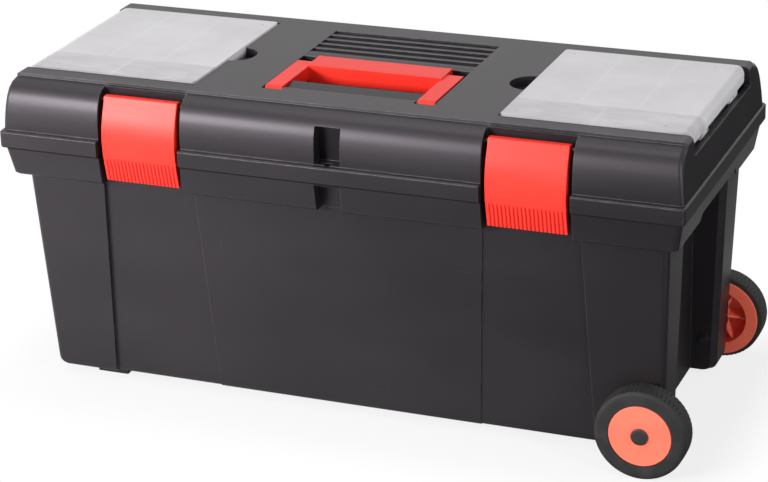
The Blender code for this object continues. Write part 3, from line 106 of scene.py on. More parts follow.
class NodeTree:  # the nodes of one material or of the world
    def __init__(self, owner):
        owner.use_nodes = True
        self.nodes = owner.node_tree.nodes
        self.links = owner.node_tree.links

    def node(self, kind, settings=None, sockets=None, output=0):
        made = self.nodes.new(kind)
        for key, value in (settings or {}).items():
            setattr(made, key, value)
        for key, value in (sockets or {}).items():
            self.feed(made.inputs[key], value)
        return Wire(self, made.outputs[output])

    def feed(self, socket, value):
        if isinstance(value, Wire):
            self.links.new(value.socket, socket)
        elif socket.type == "RGBA" and len(value) == 3:
            socket.default_value = (*value, 1.0)
        else:
            socket.default_value = value

    def rayIs(self, kind):
        return self.node("ShaderNodeLightPath", output="Is " + kind + " Ray")

    def mixShader(self, factor, first, second):
        return self.node("ShaderNodeMixShader", {}, {0: factor, 1: first, 2: second})


class Finish(NodeTree):  # one material
    def __init__(self, name):
        self.material = bpy.data.materials.new(name)
        super().__init__(self.material)
        self.shader = self.nodes["Principled BSDF"]
        self.surface = self.nodes["Material Output"].inputs["Surface"]
        self.place = self.node("ShaderNodeTexCoord", output="Object")

    def set(self, **values):
        for name, value in values.items():
            self.feed(self.shader.inputs[name.replace("_", " ")], value)

    def main(self):
        return Wire(self, self.shader.outputs[0])

    def split(self, vector, axis):
        return self.node("ShaderNodeSeparateXYZ", {}, {"Vector": vector}, axis)

    def along(self, axis):
        return self.split(self.place, axis)

    def noise(self, scale, detail=3.0, stretch=(1, 1, 1)):
        spot = self.node("ShaderNodeVectorMath", {"operation": "MULTIPLY"},
                         {0: self.place, 1: stretch})
        return self.node("ShaderNodeTexNoise", {}, {"Vector": spot, "Scale": scale,
                                                    "Detail": detail, "Roughness": 0.55}, "Fac")

    def threads(self, scale, stretch, span):  # broken lines along the axis stretched least
        return self.noise(scale, 3.0, stretch).between(*span)

    def mixColour(self, factor, first, second):
        return self.node("ShaderNodeMix", {"data_type": "RGBA"},
                         {0: factor, 6: first, 7: second}, 2)

    def inside(self, low, high, blur):  # 1 inside a box, 0 outside it
        share = 1.0
        for axis, start, end, soft in zip("XYZ", low, high, blur):
            spot = self.along(axis)
            share = share * spot.between(start - soft, start + soft)
            share = share * (1 - spot.between(end - soft, end + soft))
        return share

    def bump(self, height, distance, strength, below=None):
        sockets = {"Height": height, "Distance": distance, "Strength": strength}
        if below is not None:
            sockets["Normal"] = below
        return self.node("ShaderNodeBump", {}, sockets)

    def edgeRound(self, radius):
        return self.node("ShaderNodeBevel", {"samples": 4}, {"Radius": radius})

    def edgeMask(self, rounded, low, high):
        facing = self.node("ShaderNodeNewGeometry", output="Normal")
        likeness = self.node("ShaderNodeVectorMath", {"operation": "DOT_PRODUCT"},
                             {0: rounded, 1: facing}, "Value")
        return (1 - likeness).between(low, high)


# Painted shade: soft dark lines down the grooves of the two latches, below their plain upper strip.
def grooveShade(finish, look):
    across = (finish.along("X") - look["middleX"]).size() - look["latchX"]
    fromGroove = across.calc("PINGPONG", across, look["pitch"] / 2)
    grooves = 1 - fromGroove.between(*(look["pitch"] * share for share in look["grooveSpan"]))
    below = 1 - finish.along("Z").between(look["topZ"] - look["topBlur"], look["topZ"])
    return grooves * look["grooveAmount"] * below


# What all the moulded plastics share; a relief is its depth in metres and its strength.
moulding = {"index": 1.49, "upwardSpan": (0.10, 0.55),
            "flowStretch": (0.6, 1, 1.6), "flowSpan": (0.3, 0.7), "flowRelief": (0.0004, 0.25),
            "scuffAlong": ((0.06, 1, 1), (0.70, 0.76)), "scuffAcross": ((1, 1, 0.08), (0.71, 0.77)),
            "scuffRelief": (0.00006, 0.6), "patchScale": 1.7, "patchSpan": (0.48, 0.66),
            "wearScale": 90, "wearSpan": (0.35, 0.65), "evenEdgeHighlight": 0.35,
            "flowGloss": 0.12, "grainGloss": 0.08, "scuffGloss": 0.15}


# Paler edges, partly rubbed by use and partly painted highlight; the highlight is strongest on
# edges that face up, where light falls.
def edgeWearAndHighlight(finish, look, rounded):
    upward = finish.split(rounded, "Z").between(*moulding["upwardSpan"])
    facing = look["sideEdges"] + (1 - look["sideEdges"]) * upward
    edge = finish.edgeMask(rounded, *look["edgeSpan"]) * facing
    uneven = finish.noise(moulding["wearScale"]).between(*moulding["wearSpan"])
    always = moulding["evenEdgeHighlight"]
    return edge * (always + uneven * (1 - always)) * look["edgeAmount"]


# Hairline scuffs in patches.
def scuffMarks(finish, look):
    along = finish.threads(look["scuffScale"], *moulding["scuffAlong"])
    across = finish.threads(look["scuffScale"], *moulding["scuffAcross"])
    patches = finish.noise(look["flowScale"] * moulding["patchScale"], 2.0)
    return (along + across) * patches.between(*moulding["patchSpan"]) * look["scuffAmount"]


# Moulded plastic: fine grain, faint flow marks, scuffs, paler edges that are part rubbed and part
# painted highlight, and what the look asks for.
def mouldedPlastic(name, look):
    finish = Finish(name)
    rounded = finish.edgeRound(look["edgeRadius"])
    grain = finish.noise(look["grainScale"], 2.0)
    flow = finish.noise(look["flowScale"], 4.0, moulding["flowStretch"])
    scuff = scuffMarks(finish, look)
    # Pale edges: part rubbing, part painted highlight.
    wearAndHighlight = edgeWearAndHighlight(finish, look, rounded)
    marbled = flow.between(*moulding["flowSpan"])
    toned = finish.mixColour(marbled, look["colour"], look["flowColour"])
    if "pitch" in look:
        # Painted shade down the latch grooves.
        toned = finish.mixColour(grooveShade(finish, look), toned, look["grooveShadeColour"])
    # Painted shade: a darker line round the pressed panel on the grip.
    if "panelOuter" in look:  # the line round the pressed panel on the grip
        blur = look["panelBlur"]
        line = finish.inside(*look["panelOuter"], blur) - finish.inside(*look["panelInner"], blur)
        shown = line.atLeast(0.0) * look["panelAmount"]
        toned = finish.mixColour(shown, toned, look["panelLineShade"])
    scuffed = finish.mixColour(scuff, toned, look["scuffColour"])
    flowing = finish.bump(flow, *moulding["flowRelief"], rounded)
    scratched = finish.bump(scuff, *moulding["scuffRelief"], flowing)
    finish.set(Base_Color=finish.mixColour(wearAndHighlight, scuffed, look["edgeColour"]),
               Roughness=(look["roughness"] + (flow - 0.5) * moulding["flowGloss"]
                          + (grain - 0.5) * moulding["grainGloss"]
                          + scuff * moulding["scuffGloss"]),
               IOR=moulding["index"], Specular_IOR_Level=look["shine"],
               Specular_Tint=(*look["tint"], 1.0),
               Normal=finish.bump(grain, look["grainDepth"], 1.0, scratched))
    # Painted shade: a dark diffuse shader mixed in over the boxes the look lists.
    if "paintedShade" in look:
        share = 0.0
        for low, high, blur, amount in look["paintedShade"].values():
            share = share + finish.inside(low, high, blur) * amount
        dull = finish.node("ShaderNodeBsdfDiffuse", {}, {"Color": look["paintedShadeColour"]})
        finish.feed(finish.surface, finish.mixShader(share.atMost(1.0), finish.main(), dull))
    return finish.material


plainLook = {"colour": (0.0140, 0.0127, 0.0140), "flowColour": (0.0180, 0.0164, 0.0180),
             "tint": (1.0, 0.90, 1.0), "edgeColour": (0.230, 0.222, 0.232),
             "scuffColour": (0.060, 0.057, 0.060), "roughness": 0.38, "shine": 0.39,
             "grainScale": 1500, "grainDepth": 0.00005, "flowScale": 7, "scuffScale": 260,
             "scuffAmount": 0.30, "edgeRadius": 0.0010, "edgeAmount": 0.9,
             "edgeSpan": (0.004, 0.12), "sideEdges": 0.30}
# Painted shade: boxes over the rib risers, the padlock notch, the lid's split line and round the
# latches, where a dark diffuse shader is mixed in; a box's low and high corner, its blur and how
# much it darkens.
blackLook = {**plainLook, "paintedShadeColour": (0.012, 0.011, 0.012), "paintedShade": {
    "ribFeet": ((-0.0941, 0.019, 0.325), (0.0869, 0.0941, 0.3315), (0.0002, 0.0002, 0.0006), 0.72),
    "ribStrip": ((-0.0941, 0.0095, 0.3316), (0.0869, 0.019, 0.333), (0.0002, 0.0006, 0.0002), 0.18),
    "notchAbove": ((-0.0171, -0.17, 0.28), (0.0099, -0.125, 0.3168), (0.0002, 0.0002, 0.0003),
                   0.62),
    "notchBelow": ((-0.0171, -0.17, 0.22), (0.0099, -0.14, 0.2618), (0.0002, 0.0002, 0.0003),
                   0.55),
    "lidSplit": ((-0.4, -0.2, 0.2603), (0.4, 0.2, 0.2630), (0.0002, 0.0002, 0.0003), 0.90),
    "leftLatch": ((-0.2471, -0.16, 0.29), (-0.1621, -0.10, 0.332), (0.0002, 0.0002, 0.0004), 0.40),
    "rightLatch": ((0.1549, -0.16, 0.29), (0.2399, -0.10, 0.332), (0.0002, 0.0002, 0.0004), 0.40),
}}
trayLook = {**plainLook, "colour": (0.024, 0.024, 0.025), "roughness": 0.50}
capLook = {**plainLook, "colour": (0.024, 0.022, 0.022), "flowColour": (0.028, 0.026, 0.026),
           "roughness": 0.42}
redLook = {"colour": (1.0, 0.030, 0.018), "flowColour": (1.0, 0.037, 0.023),
           "tint": (1.0, 1.0, 1.0), "edgeColour": (1.0, 0.15, 0.10),
           "scuffColour": (1.0, 0.12, 0.08), "roughness": 0.36, "shine": 0.25,
           "grainScale": 1800, "grainDepth": 0.00003, "flowScale": 14, "scuffScale": 300,
           "scuffAmount": 0.20, "edgeRadius": 0.0009, "edgeAmount": 0.5,
           "edgeSpan": (0.02, 0.25), "sideEdges": 0.8}
latchLook = {**redLook, "grooveShadeColour": (0.50, 0.004, 0.003), "pitch": 0.004, "latchX": 0.201,
             "middleX": -0.0036, "topZ": 0.2615, "topBlur": 0.0006, "grooveAmount": 1.0,
             "grooveSpan": (0.06, 0.24)}
gripLook = {**redLook, "panelLineShade": (0.62, 0.008, 0.005), "panelAmount": 0.8,
            "panelOuter": ((-0.0716, -0.0230, 0.3330), (0.0644, 0.0026, 0.3360)),
            "panelInner": ((-0.0710, -0.0224, 0.3330), (0.0638, 0.0020, 0.3360)),
            "panelBlur": (0.0002, 0.0002, 0.0004)}
wheelLook = {"colour": (1.0, 0.150, 0.087), "flowColour": (1.0, 0.182, 0.110),
             "tint": (1.0, 1.0, 1.0), "edgeColour": (1.0, 0.28, 0.19),
             "scuffColour": (0.95, 0.15, 0.10), "roughness": 0.48, "shine": 0.45,
             "grainScale": 1700, "grainDepth": 0.00004, "flowScale": 18, "scuffScale": 320,
             "scuffAmount": 0.20, "edgeRadius": 0.0008, "edgeAmount": 0.4,
             "edgeSpan": (0.02, 0.25), "sideEdges": 1.0}


# What shows through a cover: the compartment walls as pale lines, the front row a little darker,
# and a small mark near each corner. Returns the lines, the front row and the marks.
def throughCover(finish, look):
    across = (finish.along("X") - look["middleX"]).size()
    deep = finish.along("Y")
    behind = deep.between(look["rowY"] - look["rowBlur"], look["rowY"] + look["rowBlur"])
    frontRow = 1 - behind
    lines = 1 - (deep - look["rowY"]).size().between(*look["wallBlur"])
    walls = [(wallX, behind) for wallX in look["backWalls"]] + [(look["frontWall"], frontRow)]
    for wallX, row in walls:
        wall = 1 - (across - wallX).size().between(*look["wallBlur"])
        lines = lines.atLeast(wall * row)
    marks = 0.0
    for markX in look["markX"]:
        for markY in look["markY"]:
            fromMark = ((across - markX) ** 2.0 + (deep - markY).size() ** 2.0) ** 0.5
            marks = marks + (1 - fromMark.between(*look["markSpan"]))
    return lines, frontRow, marks


# What covers and boxes share.
frosting = {"index": 1.49, "edgeRadius": 0.0010, "edgeSpan": (0.02, 0.25), "edgeAmount": 0.85,
            "cloudScale": 11, "cloudSpan": (0.25, 0.75), "cloudRelief": (0.0006, 0.2),
            "cloudGloss": 0.10, "cloudAlpha": 0.06, "edgeAlpha": 0.10,
            "grainScale": 1300, "grainRelief": (0.00004, 1.0),
            "scratchAlong": (240, (0.05, 1, 1), (0.69, 0.75)),
            "scratchAcross": (210, (1, 0.06, 1), (0.70, 0.76)),
            "scratchAmount": 0.15, "scratchGloss": 0.12}


# Milky organiser plastic: pale, a little see-through, with fine haze and cloudy tone.
def frostedPlastic(name, look):
    finish = Finish(name)
    rounded = finish.edgeRound(frosting["edgeRadius"])
    edge = finish.edgeMask(rounded, *frosting["edgeSpan"])
    cloud = finish.noise(frosting["cloudScale"], 4.0).between(*frosting["cloudSpan"])
    grain = finish.noise(frosting["grainScale"], 2.0)
    scratch = (finish.threads(*frosting["scratchAlong"])
               + finish.threads(*frosting["scratchAcross"])) * 0.5
    toned = finish.mixColour(cloud, look["colour"], look["cloudColour"])
    if "rowY" in look:
        lines, frontRow, marks = throughCover(finish, look)
        patchy = finish.noise(look["patchScale"], 4.0, look["patchStretch"])
        least, more = look["rowAmount"]
        darker = frontRow * (least + patchy.between(*look["patchSpan"]) * more)
        toned = finish.mixColour(darker, toned, look["rowColour"])
        toned = finish.mixColour(lines * look["lineAmount"], toned, look["edgeColour"])
        toned = finish.mixColour(marks * look["markAmount"], toned, look["markColour"])
    # Pale rims are painted highlight; the scratches are marks of use.
    litEdgesAndScratches = edge * frosting["edgeAmount"] + scratch * frosting["scratchAmount"]
    haze = finish.bump(cloud, *frosting["cloudRelief"], rounded)
    finish.set(Base_Color=finish.mixColour(litEdgesAndScratches, toned, look["edgeColour"]),
               Roughness=(look["roughness"] + (cloud - 0.5) * frosting["cloudGloss"]
                          + scratch * frosting["scratchGloss"]),
               Alpha=(look["alpha"] + (cloud - 0.5) * frosting["cloudAlpha"]
                      + edge * frosting["edgeAlpha"]),
               IOR=frosting["index"], Normal=finish.bump(grain, *frosting["grainRelief"], haze))
    return finish.material


coverLook = {"colour": (0.76, 0.74, 0.76), "cloudColour": (0.84, 0.82, 0.84),
             "edgeColour": (0.95, 0.94, 0.95), "roughness": 0.34, "alpha": 0.86,
             "middleX": -0.0036, "rowColour": (0.60, 0.58, 0.60), "rowY": -0.0553,
             "rowBlur": 0.001, "rowAmount": (0.35, 0.45), "patchScale": 70,
             "patchStretch": (0.35, 1, 1), "patchSpan": (0.35, 0.65),
             "backWalls": (0.2213, 0.2797), "frontWall": 0.2505, "wallBlur": (0.0004, 0.0040),
             "lineAmount": 0.24, "markColour": (0.36, 0.35, 0.36), "markX": (0.1720, 0.3180),
             "markY": (-0.0925, 0.0880), "markSpan": (0.0010, 0.0018), "markAmount": 0.55}
boxLook = {"colour": (0.56, 0.56, 0.58), "cloudColour": (0.60, 0.60, 0.62),
           "edgeColour": (0.80, 0.80, 0.81), "roughness": 0.40, "alpha": 0.93}


# Tyre rubber: dull, slightly dusty, with a fine pitted grain.
def tyreRubber(name, look):
    finish = Finish(name)
    rounded = finish.edgeRound(look["edgeRadius"])
    edge = finish.edgeMask(rounded, *look["edgeSpan"])
    pits = finish.noise(look["pitScale"])
    dust = finish.noise(look["dustScale"], 5.0).between(*look["dustSpan"])
    toned = finish.mixColour(dust * look["dustAmount"], look["colour"], look["dustColour"])
    dusty = finish.bump(dust, *look["dustRelief"], rounded)
    finish.set(Base_Color=finish.mixColour(edge * look["edgeAmount"], toned, look["edgeColour"]),
               Roughness=(look["roughness"] + (pits - 0.5) * look["pitGloss"]
                          + dust * look["dustGloss"]),
               IOR=look["index"], Specular_IOR_Level=look["shine"],
               Normal=finish.bump(pits, *look["pitRelief"], dusty))
    return finish.material


rubberLook = {"colour": (0.0150, 0.0143, 0.0147), "dustColour": (0.040, 0.038, 0.039),
              "edgeColour": (0.054, 0.052, 0.053), "edgeRadius": 0.0006, "edgeSpan": (0.02, 0.25),
              "edgeAmount": 0.4, "roughness": 0.66, "index": 1.50, "shine": 0.35,
              "pitScale": 1400, "pitRelief": (0.00010, 0.8), "pitGloss": 0.15,
              "dustScale": 60, "dustSpan": (0.40, 0.72), "dustAmount": 0.45,
              "dustRelief": (0.0002, 0.3), "dustGloss": 0.08}


# Plated or blued steel: lightly brushed, with dull spots.
def metalFinish(name, look):
    finish = Finish(name)
    spots = finish.noise(look["spotScale"], 4.0).between(*look["spotSpan"])
    brushed = finish.noise(look["brushScale"], 2.0, look["brushStretch"])
    shown = spots * look["spotAmount"]
    finish.set(Base_Color=finish.mixColour(shown, look["colour"], look["spotColour"]),
               Metallic=look["metallic"] - spots * look["spotDull"],
               Roughness=(look["roughness"] + spots * look["spotGloss"]
                          + (brushed - 0.5) * look["brushGloss"]),
               Normal=finish.bump(brushed, *look["brushRelief"]))
    return finish.material


zincLook = {"colour": (0.60, 0.60, 0.61), "metallic": 0.96, "roughness": 0.30,
            "spotColour": (0.42, 0.42, 0.44), "spotScale": 420, "spotSpan": (0.45, 0.70),
            "spotAmount": 0.5, "spotDull": 0.1, "spotGloss": 0.18, "brushScale": 900,
            "brushStretch": (0.05, 1, 1), "brushRelief": (0.00004, 0.6), "brushGloss": 0.12}
bluedLook = {**zincLook, "colour": (0.075, 0.075, 0.080), "spotColour": (0.040, 0.040, 0.043),
             "roughness": 0.42}

finishes = {
    "black_plastic": mouldedPlastic("blackPlastic", blackLook),
    "tray_plastic": mouldedPlastic("trayPlastic", trayLook),
    "latch_plastic": mouldedPlastic("latchPlastic", latchLook),
    "grip_plastic": mouldedPlastic("gripPlastic", gripLook),
    "wheel_plastic": mouldedPlastic("wheelPlastic", wheelLook),
    "cap_plastic": mouldedPlastic("capPlastic", capLook),
    "cover_frosted": frostedPlastic("coverFrosted", coverLook),
    "box_frosted": frostedPlastic("boxFrosted", boxLook),
    "tyre_rubber": tyreRubber("tyreRubber", rubberLook),
    "zinc_steel": metalFinish("zincSteel", zincLook),
    "blued_steel": metalFinish("bluedSteel", bluedLook),
}
print("finishes mixed:", len(finishes))


def dress(piece, finishName):
    piece.data.materials.clear()
    piece.data.materials.append(finishes[finishName])


# How the copies of solids are cleaned and shaded: lengths in metres, angles in degrees.
copying = {"weld": 0.000002, "sliver": 0.0000005, "samePlane": 0.999998, "smoothAngle": 33,
           "mergeAngle": 0.05, "roundFrom": 30, "shortest": 3.5, "room": 2.5, "rings": 2}


# Faces that lie in one plane and touch, as one region each: every face's region, and the areas.
def flatRegions(shape):
    regionOf, areas = {}, []
    for seed in shape.faces:
        if seed in regionOf:
            continue
        area, waiting = 0.0, [seed]
        regionOf[seed] = len(areas)
        while waiting:
            face = waiting.pop()
            area += face.calc_area()
            for edge in face.edges:
                for other in edge.link_faces:
                    alike = seed.normal.dot(other.normal) > copying["samePlane"]
                    if other not in regionOf and alike:
                        regionOf[other] = len(areas)
                        waiting.append(other)
        areas.append(area)
    return regionOf, areas


# The corners of faces at one vertex that are joined across smooth edges.
def smoothFans(vert, sharpEdges):
    left = list(vert.link_loops)
    while left:
        fan = [left.pop()]
        for corner in fan:
            ends = {corner.edge, corner.link_loop_prev.edge} - sharpEdges
            near = [other for other in left if ends & {other.edge, other.link_loop_prev.edge}]
            fan += near
            left = [other for other in left if other not in near]
        yield fan


# Normals weighted by whole flat regions, so that the way a flat face is cut up never shows.
def shadeByRegion(mesh):
    shape = bmesh.new()
    shape.from_mesh(mesh)
    regionOf, areas = flatRegions(shape)
    limit = math.radians(copying["smoothAngle"])
    sharpEdges = {edge for edge in shape.edges if edge.calc_face_angle(math.pi) > limit}
    normals = [(0, 0, 0)] * sum(len(face.loops) for face in shape.faces)
    for face in shape.faces:
        for corner in face.loops:
            normals[corner.index] = face.normal.copy()
    for vert in shape.verts:
        for fan in smoothFans(vert, sharpEdges):
            total = Vector()
            for corner in fan:
                total += corner.face.normal * corner.calc_angle() * areas[regionOf[corner.face]]
            for corner in fan:
                normals[corner.index] = total.normalized()
    shape.free()
    mesh.shade_smooth()
    mesh.set_sharp_from_angle(angle=limit)
    mesh.normals_split_custom_set(normals)


def solidShape(nodeName):
    shape = bmesh.new()
    shape.from_mesh(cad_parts[nodeName].data)
    bmesh.ops.remove_doubles(shape, verts=shape.verts, dist=copying["weld"])
    return shape


# A new object from a shape, riding on its body, with its finish and its slot.
def makePiece(name, shape, body, finishName):
    mesh = bpy.data.meshes.new(name)
    shape.to_mesh(mesh)
    shape.free()
    if "custom_normal" in mesh.attributes:
        mesh.attributes.remove(mesh.attributes["custom_normal"])
    piece = bpy.data.objects.new(name, mesh)
    scene.collection.objects.link(piece)
    dress(piece, finishName)
    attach(piece, body)
    return piece


# A copy of a solid with its own shading, standing for that solid.
def smoothCopy(nodeName, pieceName, body, finishName):
    shape = solidShape(nodeName)
    bmesh.ops.dissolve_degenerate(shape, edges=shape.edges, dist=copying["sliver"])
    piece = makePiece(pieceName, shape, body, finishName)
    shadeByRegion(piece.data)
    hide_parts(nodeName)


# Only edges with room on all sides are rounded, so that no corner folds over itself.
def markRoundEdges(shape, width):
    layer = shape.edges.layers.float.new("bevel_weight_edge")
    room, shortest = width * copying["room"], width * copying["shortest"]
    crowded = {vert for edge in shape.edges if edge.calc_length() < room for vert in edge.verts}
    for edge in shape.edges:
        if len(edge.link_faces) != 2 or edge.calc_length() < shortest:
            continue
        if crowded.intersection(edge.verts):
            continue
        if edge.calc_face_angle(0.0) >= math.radians(copying["roundFrom"]):
            edge[layer] = 1.0


# A copy of a solid with its flat faces merged and its edges rounded, standing for that solid.
def roundedCopy(nodeName, pieceName, body, finishName, width):
    shape = solidShape(nodeName)
    bmesh.ops.dissolve_limit(shape, angle_limit=math.radians(copying["mergeAngle"]),
                             use_dissolve_boundaries=False, verts=shape.verts, edges=shape.edges)
    markRoundEdges(shape, width)
    piece = makePiece(pieceName, shape, body, finishName)
    piece.data.shade_smooth()
    rounding = piece.modifiers.new("edges", "BEVEL")
    rounding.limit_method = "WEIGHT"
    rounding.width = width
    rounding.segments = copying["rings"]
    rounding.use_clamp_overlap = False
    weighted = piece.modifiers.new("normals", "WEIGHTED_NORMAL")
    weighted.keep_sharp = False
    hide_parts(nodeName)


smoothCopy("tub", "tubShell", "tub", "black_plastic")
smoothCopy("lid", "lidShell", "lid", "black_plastic")
print("tub and lid dressed")

frontRounding = {"latch": 0.0006, "box": 0.0005, "cover": 0.0007}
for label in ("left", "right"):
    latch, box, cover = "latch_" + label, "organiser_box_" + label, "organiser_cover_" + label
    roundedCopy(latch, "latchFace_" + label, latch, "latch_plastic",
                frontRounding["latch"])
    roundedCopy(box, "partsBox_" + label, "lid", "box_frosted",
                frontRounding["box"])
    roundedCopy(cover, "partsCover_" + label, cover, "cover_frosted",
                frontRounding["cover"])
smoothCopy("carry_handle", "carryHandle", "carry_handle", "grip_plastic")
smoothCopy("lift_out_tray", "liftOutTray", "tray", "tray_plastic")
print("latches, handle, organisers and tray dressed")


# A round piece's outer side, the place of its outer face's middle, its radius and its width.
def roundPlace(nodeName, label):
    low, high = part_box(nodeName)
    side = -1 if label == "front" else 1
    middle = ((low.x + high.x) / 2, low.y if side < 0 else high.y, (low.z + high.z) / 2)
    return side, middle, (high.z - low.z) / 2, high.y - low.y


# Turns an outline of (radius, depth) round an axle. Depth grows away from the given side, from
# middle on; cutAt gives what the radius loses at a point of the outline and a step of the turn.
def turnedShape(outline, side, middle, steps, cutAt):
    shape = bmesh.new()
    rings = []
    for step in range(steps):
        angle = math.tau * step / steps
        ring = []
        for index, (radius, depth) in enumerate(outline):
            reach = radius - cutAt(index, step)
            ring.append(shape.verts.new((middle[0] + reach * math.cos(angle),
                                         middle[1] - side * depth,
                                         middle[2] + reach * math.sin(angle))))
        rings.append(ring)
    for step, near in enumerate(rings):
        far = rings[(step + 1) % steps]
        for index in range(len(outline)):
            after = (index + 1) % len(outline)
            shape.faces.new((near[index], near[after], far[after], far[index]))
    bmesh.ops.recalc_face_normals(shape, faces=shape.faces)
    return shape


def turnedPiece(kind, label, shape, pieceName, finishName, smoothAngle):
    piece = makePiece(pieceName + "_" + label, shape, "wheel_" + label, finishName)
    piece.data.shade_smooth()
    piece.data.set_sharp_from_angle(angle=math.radians(smoothAngle))
    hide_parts(kind + "_" + label)


tyreLook = {"blocks": 60, "stepsPerBlock": 6, "grooveDepth": 0.0007, "smoothAngle": 28,
            "lipRadius": 0.0316, "lipDepth": 0.0030, "lipSteps": (0.0, 0.0012, 0.004),
            "seatRadius": 0.0363, "seatDepth": 0.0050,
            "shoulder": 0.0045, "shoulderSteps": 5, "shoulderEdge": 0.0006,
            "outerShare": 0.8, "innerShare": 0.45, "innerEdge": ((0.0015, 0.0006), (0.0040, 0.0)),
            "treadRows": (0.0, 0.18, 0.34, 0.37, 0.63, 0.66, 0.82, 1.0), "plainRows": (3, 4),
            "crown": 0.0003}


# The tyre's section, from the lip on its outer face over the tread to the seat behind, and where
# its tread rows begin.
def tyreOutline(radius, width):
    lip, seat, curve = tyreLook["lipRadius"], tyreLook["seatRadius"], tyreLook["shoulder"]
    low, high = curve * tyreLook["outerShare"], width - curve * tyreLook["innerShare"]
    outline = [(lip + step, 0.0) for step in tyreLook["lipSteps"]]
    outline.append((radius - curve - tyreLook["shoulderEdge"], 0.0))
    for step in range(1, tyreLook["shoulderSteps"]):
        angle = step / tyreLook["shoulderSteps"] * math.pi / 2
        outline.append((radius - curve * (1 - math.sin(angle)), low * (1 - math.cos(angle))))
    treadFrom = len(outline)
    for share in tyreLook["treadRows"]:
        crown = tyreLook["crown"] * (2 * share - 1) ** 2
        outline.append((radius - crown, low + (high - low) * share))
    outline += [(radius - cut, width - rise) for cut, rise in tyreLook["innerEdge"]]
    outline += [(seat, width), (seat, tyreLook["seatDepth"]), (lip, tyreLook["lipDepth"])]
    return outline, treadFrom


def makeTyre(label):
    side, middle, radius, width = roundPlace("wheel_tyre_" + label, label)
    outline, treadFrom = tyreOutline(radius, width)
    perBlock, rows = tyreLook["stepsPerBlock"], len(tyreLook["treadRows"])

    def groove(index, step):  # one step in each block is cut, half a block on in the inner rows
        row = index - treadFrom
        if row not in range(rows) or row in tyreLook["plainRows"]:
            return 0.0
        shift = 0 if row < tyreLook["plainRows"][0] else perBlock // 2
        return tyreLook["grooveDepth"] if (step + shift) % perBlock == 0 else 0.0

    shape = turnedShape(outline, side, middle, tyreLook["blocks"] * perBlock, groove)
    turnedPiece("wheel_tyre", label, shape, "tyreTread", "tyre_rubber", tyreLook["smoothAngle"])


rimLook = {"rounding": 0.0006}


def makeRim(label):
    roundedCopy("wheel_rim_" + label, "wheelDisc_" + label, "wheel_" + label, "wheel_plastic",
                rimLook["rounding"])


# Lengths in metres; skirt, roll, crown and bore depth are shares of the cap's radius or height.
capShape = {"bore": 0.0043, "boreDepth": 0.70, "bevel": 0.0002, "skirt": 0.45, "roll": 0.40,
            "rollIn": 0.0016, "rollSteps": 6, "crown": ((0.62, 0.97), (0.52, 1.0), (0.30, 0.97)),
            "tip": 0.00001, "tipHeight": 0.96, "steps": 48, "smoothAngle": 35}


# A domed cap over the axle's end, hollow behind.
def makeHubCap(label):
    side, middle, radius, height = roundPlace("hub_cap_" + label, label)
    inner = (middle[0], middle[1] - side * height, middle[2])
    bore, bevel, tip = capShape["bore"], capShape["bevel"], capShape["tip"]
    skirt, boreDepth = height * capShape["skirt"], height * capShape["boreDepth"]
    outline = [(bore, 0.0), (radius - bevel, 0.0), (radius, bevel), (radius, skirt)]
    for step in range(1, capShape["rollSteps"]):
        angle = step / capShape["rollSteps"] * math.pi / 2
        outline.append((radius - capShape["rollIn"] * (1 - math.cos(angle)),
                        skirt + height * capShape["roll"] * math.sin(angle)))
    outline += [(radius * reach, height * rise) for reach, rise in capShape["crown"]]
    outline += [(tip, height * capShape["tipHeight"]), (tip, boreDepth), (bore, boreDepth)]
    shape = turnedShape(outline, -side, inner, capShape["steps"], lambda index, step: 0.0)
    turnedPiece("hub_cap", label, shape, "hubCap", "cap_plastic", capShape["smoothAngle"])


# Solids that are already right, and the finish each gets.
keptNodes = {"axle_front": "blued_steel", "axle_back": "blued_steel",
             "axle_clip_front": "blued_steel", "axle_clip_back": "blued_steel",
             "washer_front": "zinc_steel", "washer_back": "zinc_steel",
             "hinge_pin_left": "zinc_steel", "hinge_pin_right": "zinc_steel",
             "handle_pin_left": "zinc_steel", "handle_pin_right": "zinc_steel",
             "latch_pin_left": "cap_plastic", "latch_pin_right": "cap_plastic"}

for label in ("front", "back"):
    makeTyre(label)
    makeRim(label)
    makeHubCap(label)
for nodeName, finishName in keptNodes.items():
    dress(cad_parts[nodeName], finishName)
print("wheels and pins dressed")


paperLook = {"reach": 9.0, "colour": (0.92, 0.92, 0.925), "roughness": 0.85,
             "toothScale": 220, "toothGloss": 0.1, "white": (1.0, 1.0, 1.0),
             "shadowLift": 0.80, "fade": (0.0, 0.08), "mirrored": (0.9, 2.5),
             "dimColour": (0.03, 0.03, 0.03), "dimLean": (0.8, 0.75), "dimSpan": (-0.12, 0.58),
             "dimBeside": (0.36, 0.56),
             "gleam": ((0.65, -0.85, -1.0), (4.0, -0.25, 1.0), (0.05, 0.08, 0.5))}


# How much of the plain white shows: to the camera near the box, in gloss only further out.
def whitening(paper):
    beyondX = (paper.along("X").size() - cadHigh[0]).atLeast(0.0)
    beyondY = (paper.along("Y").size() - cadHigh[1]).atLeast(0.0)
    far = (beyondX * beyondX + beyondY * beyondY) ** 0.5
    lift = paperLook["shadowLift"]
    toCamera = paper.rayIs("Camera") * (lift + (1 - lift) * far.between(*paperLook["fade"]))
    mirrored = (paper.rayIs("Glossy") + paper.rayIs("Transmission")).atMost(1.0)
    return (toCamera + mirrored * far.between(*paperLook["mirrored"])).atMost(1.0)


# Painted reflection: how much darker the gloss sees the paper, a dark sheet towards the front
# right, but for the bright patch that gives the right corners their lines.
def dimming(paper):
    byX, byY = paperLook["dimLean"]
    lean = paper.along("X") * byX - paper.along("Y") * byY
    beside = paper.along("X").between(*paperLook["dimBeside"])
    dimmed = lean.between(*paperLook["dimSpan"]).atLeast(beside)
    return paper.rayIs("Glossy") * (dimmed * (1 - paper.inside(*paperLook["gleam"])))


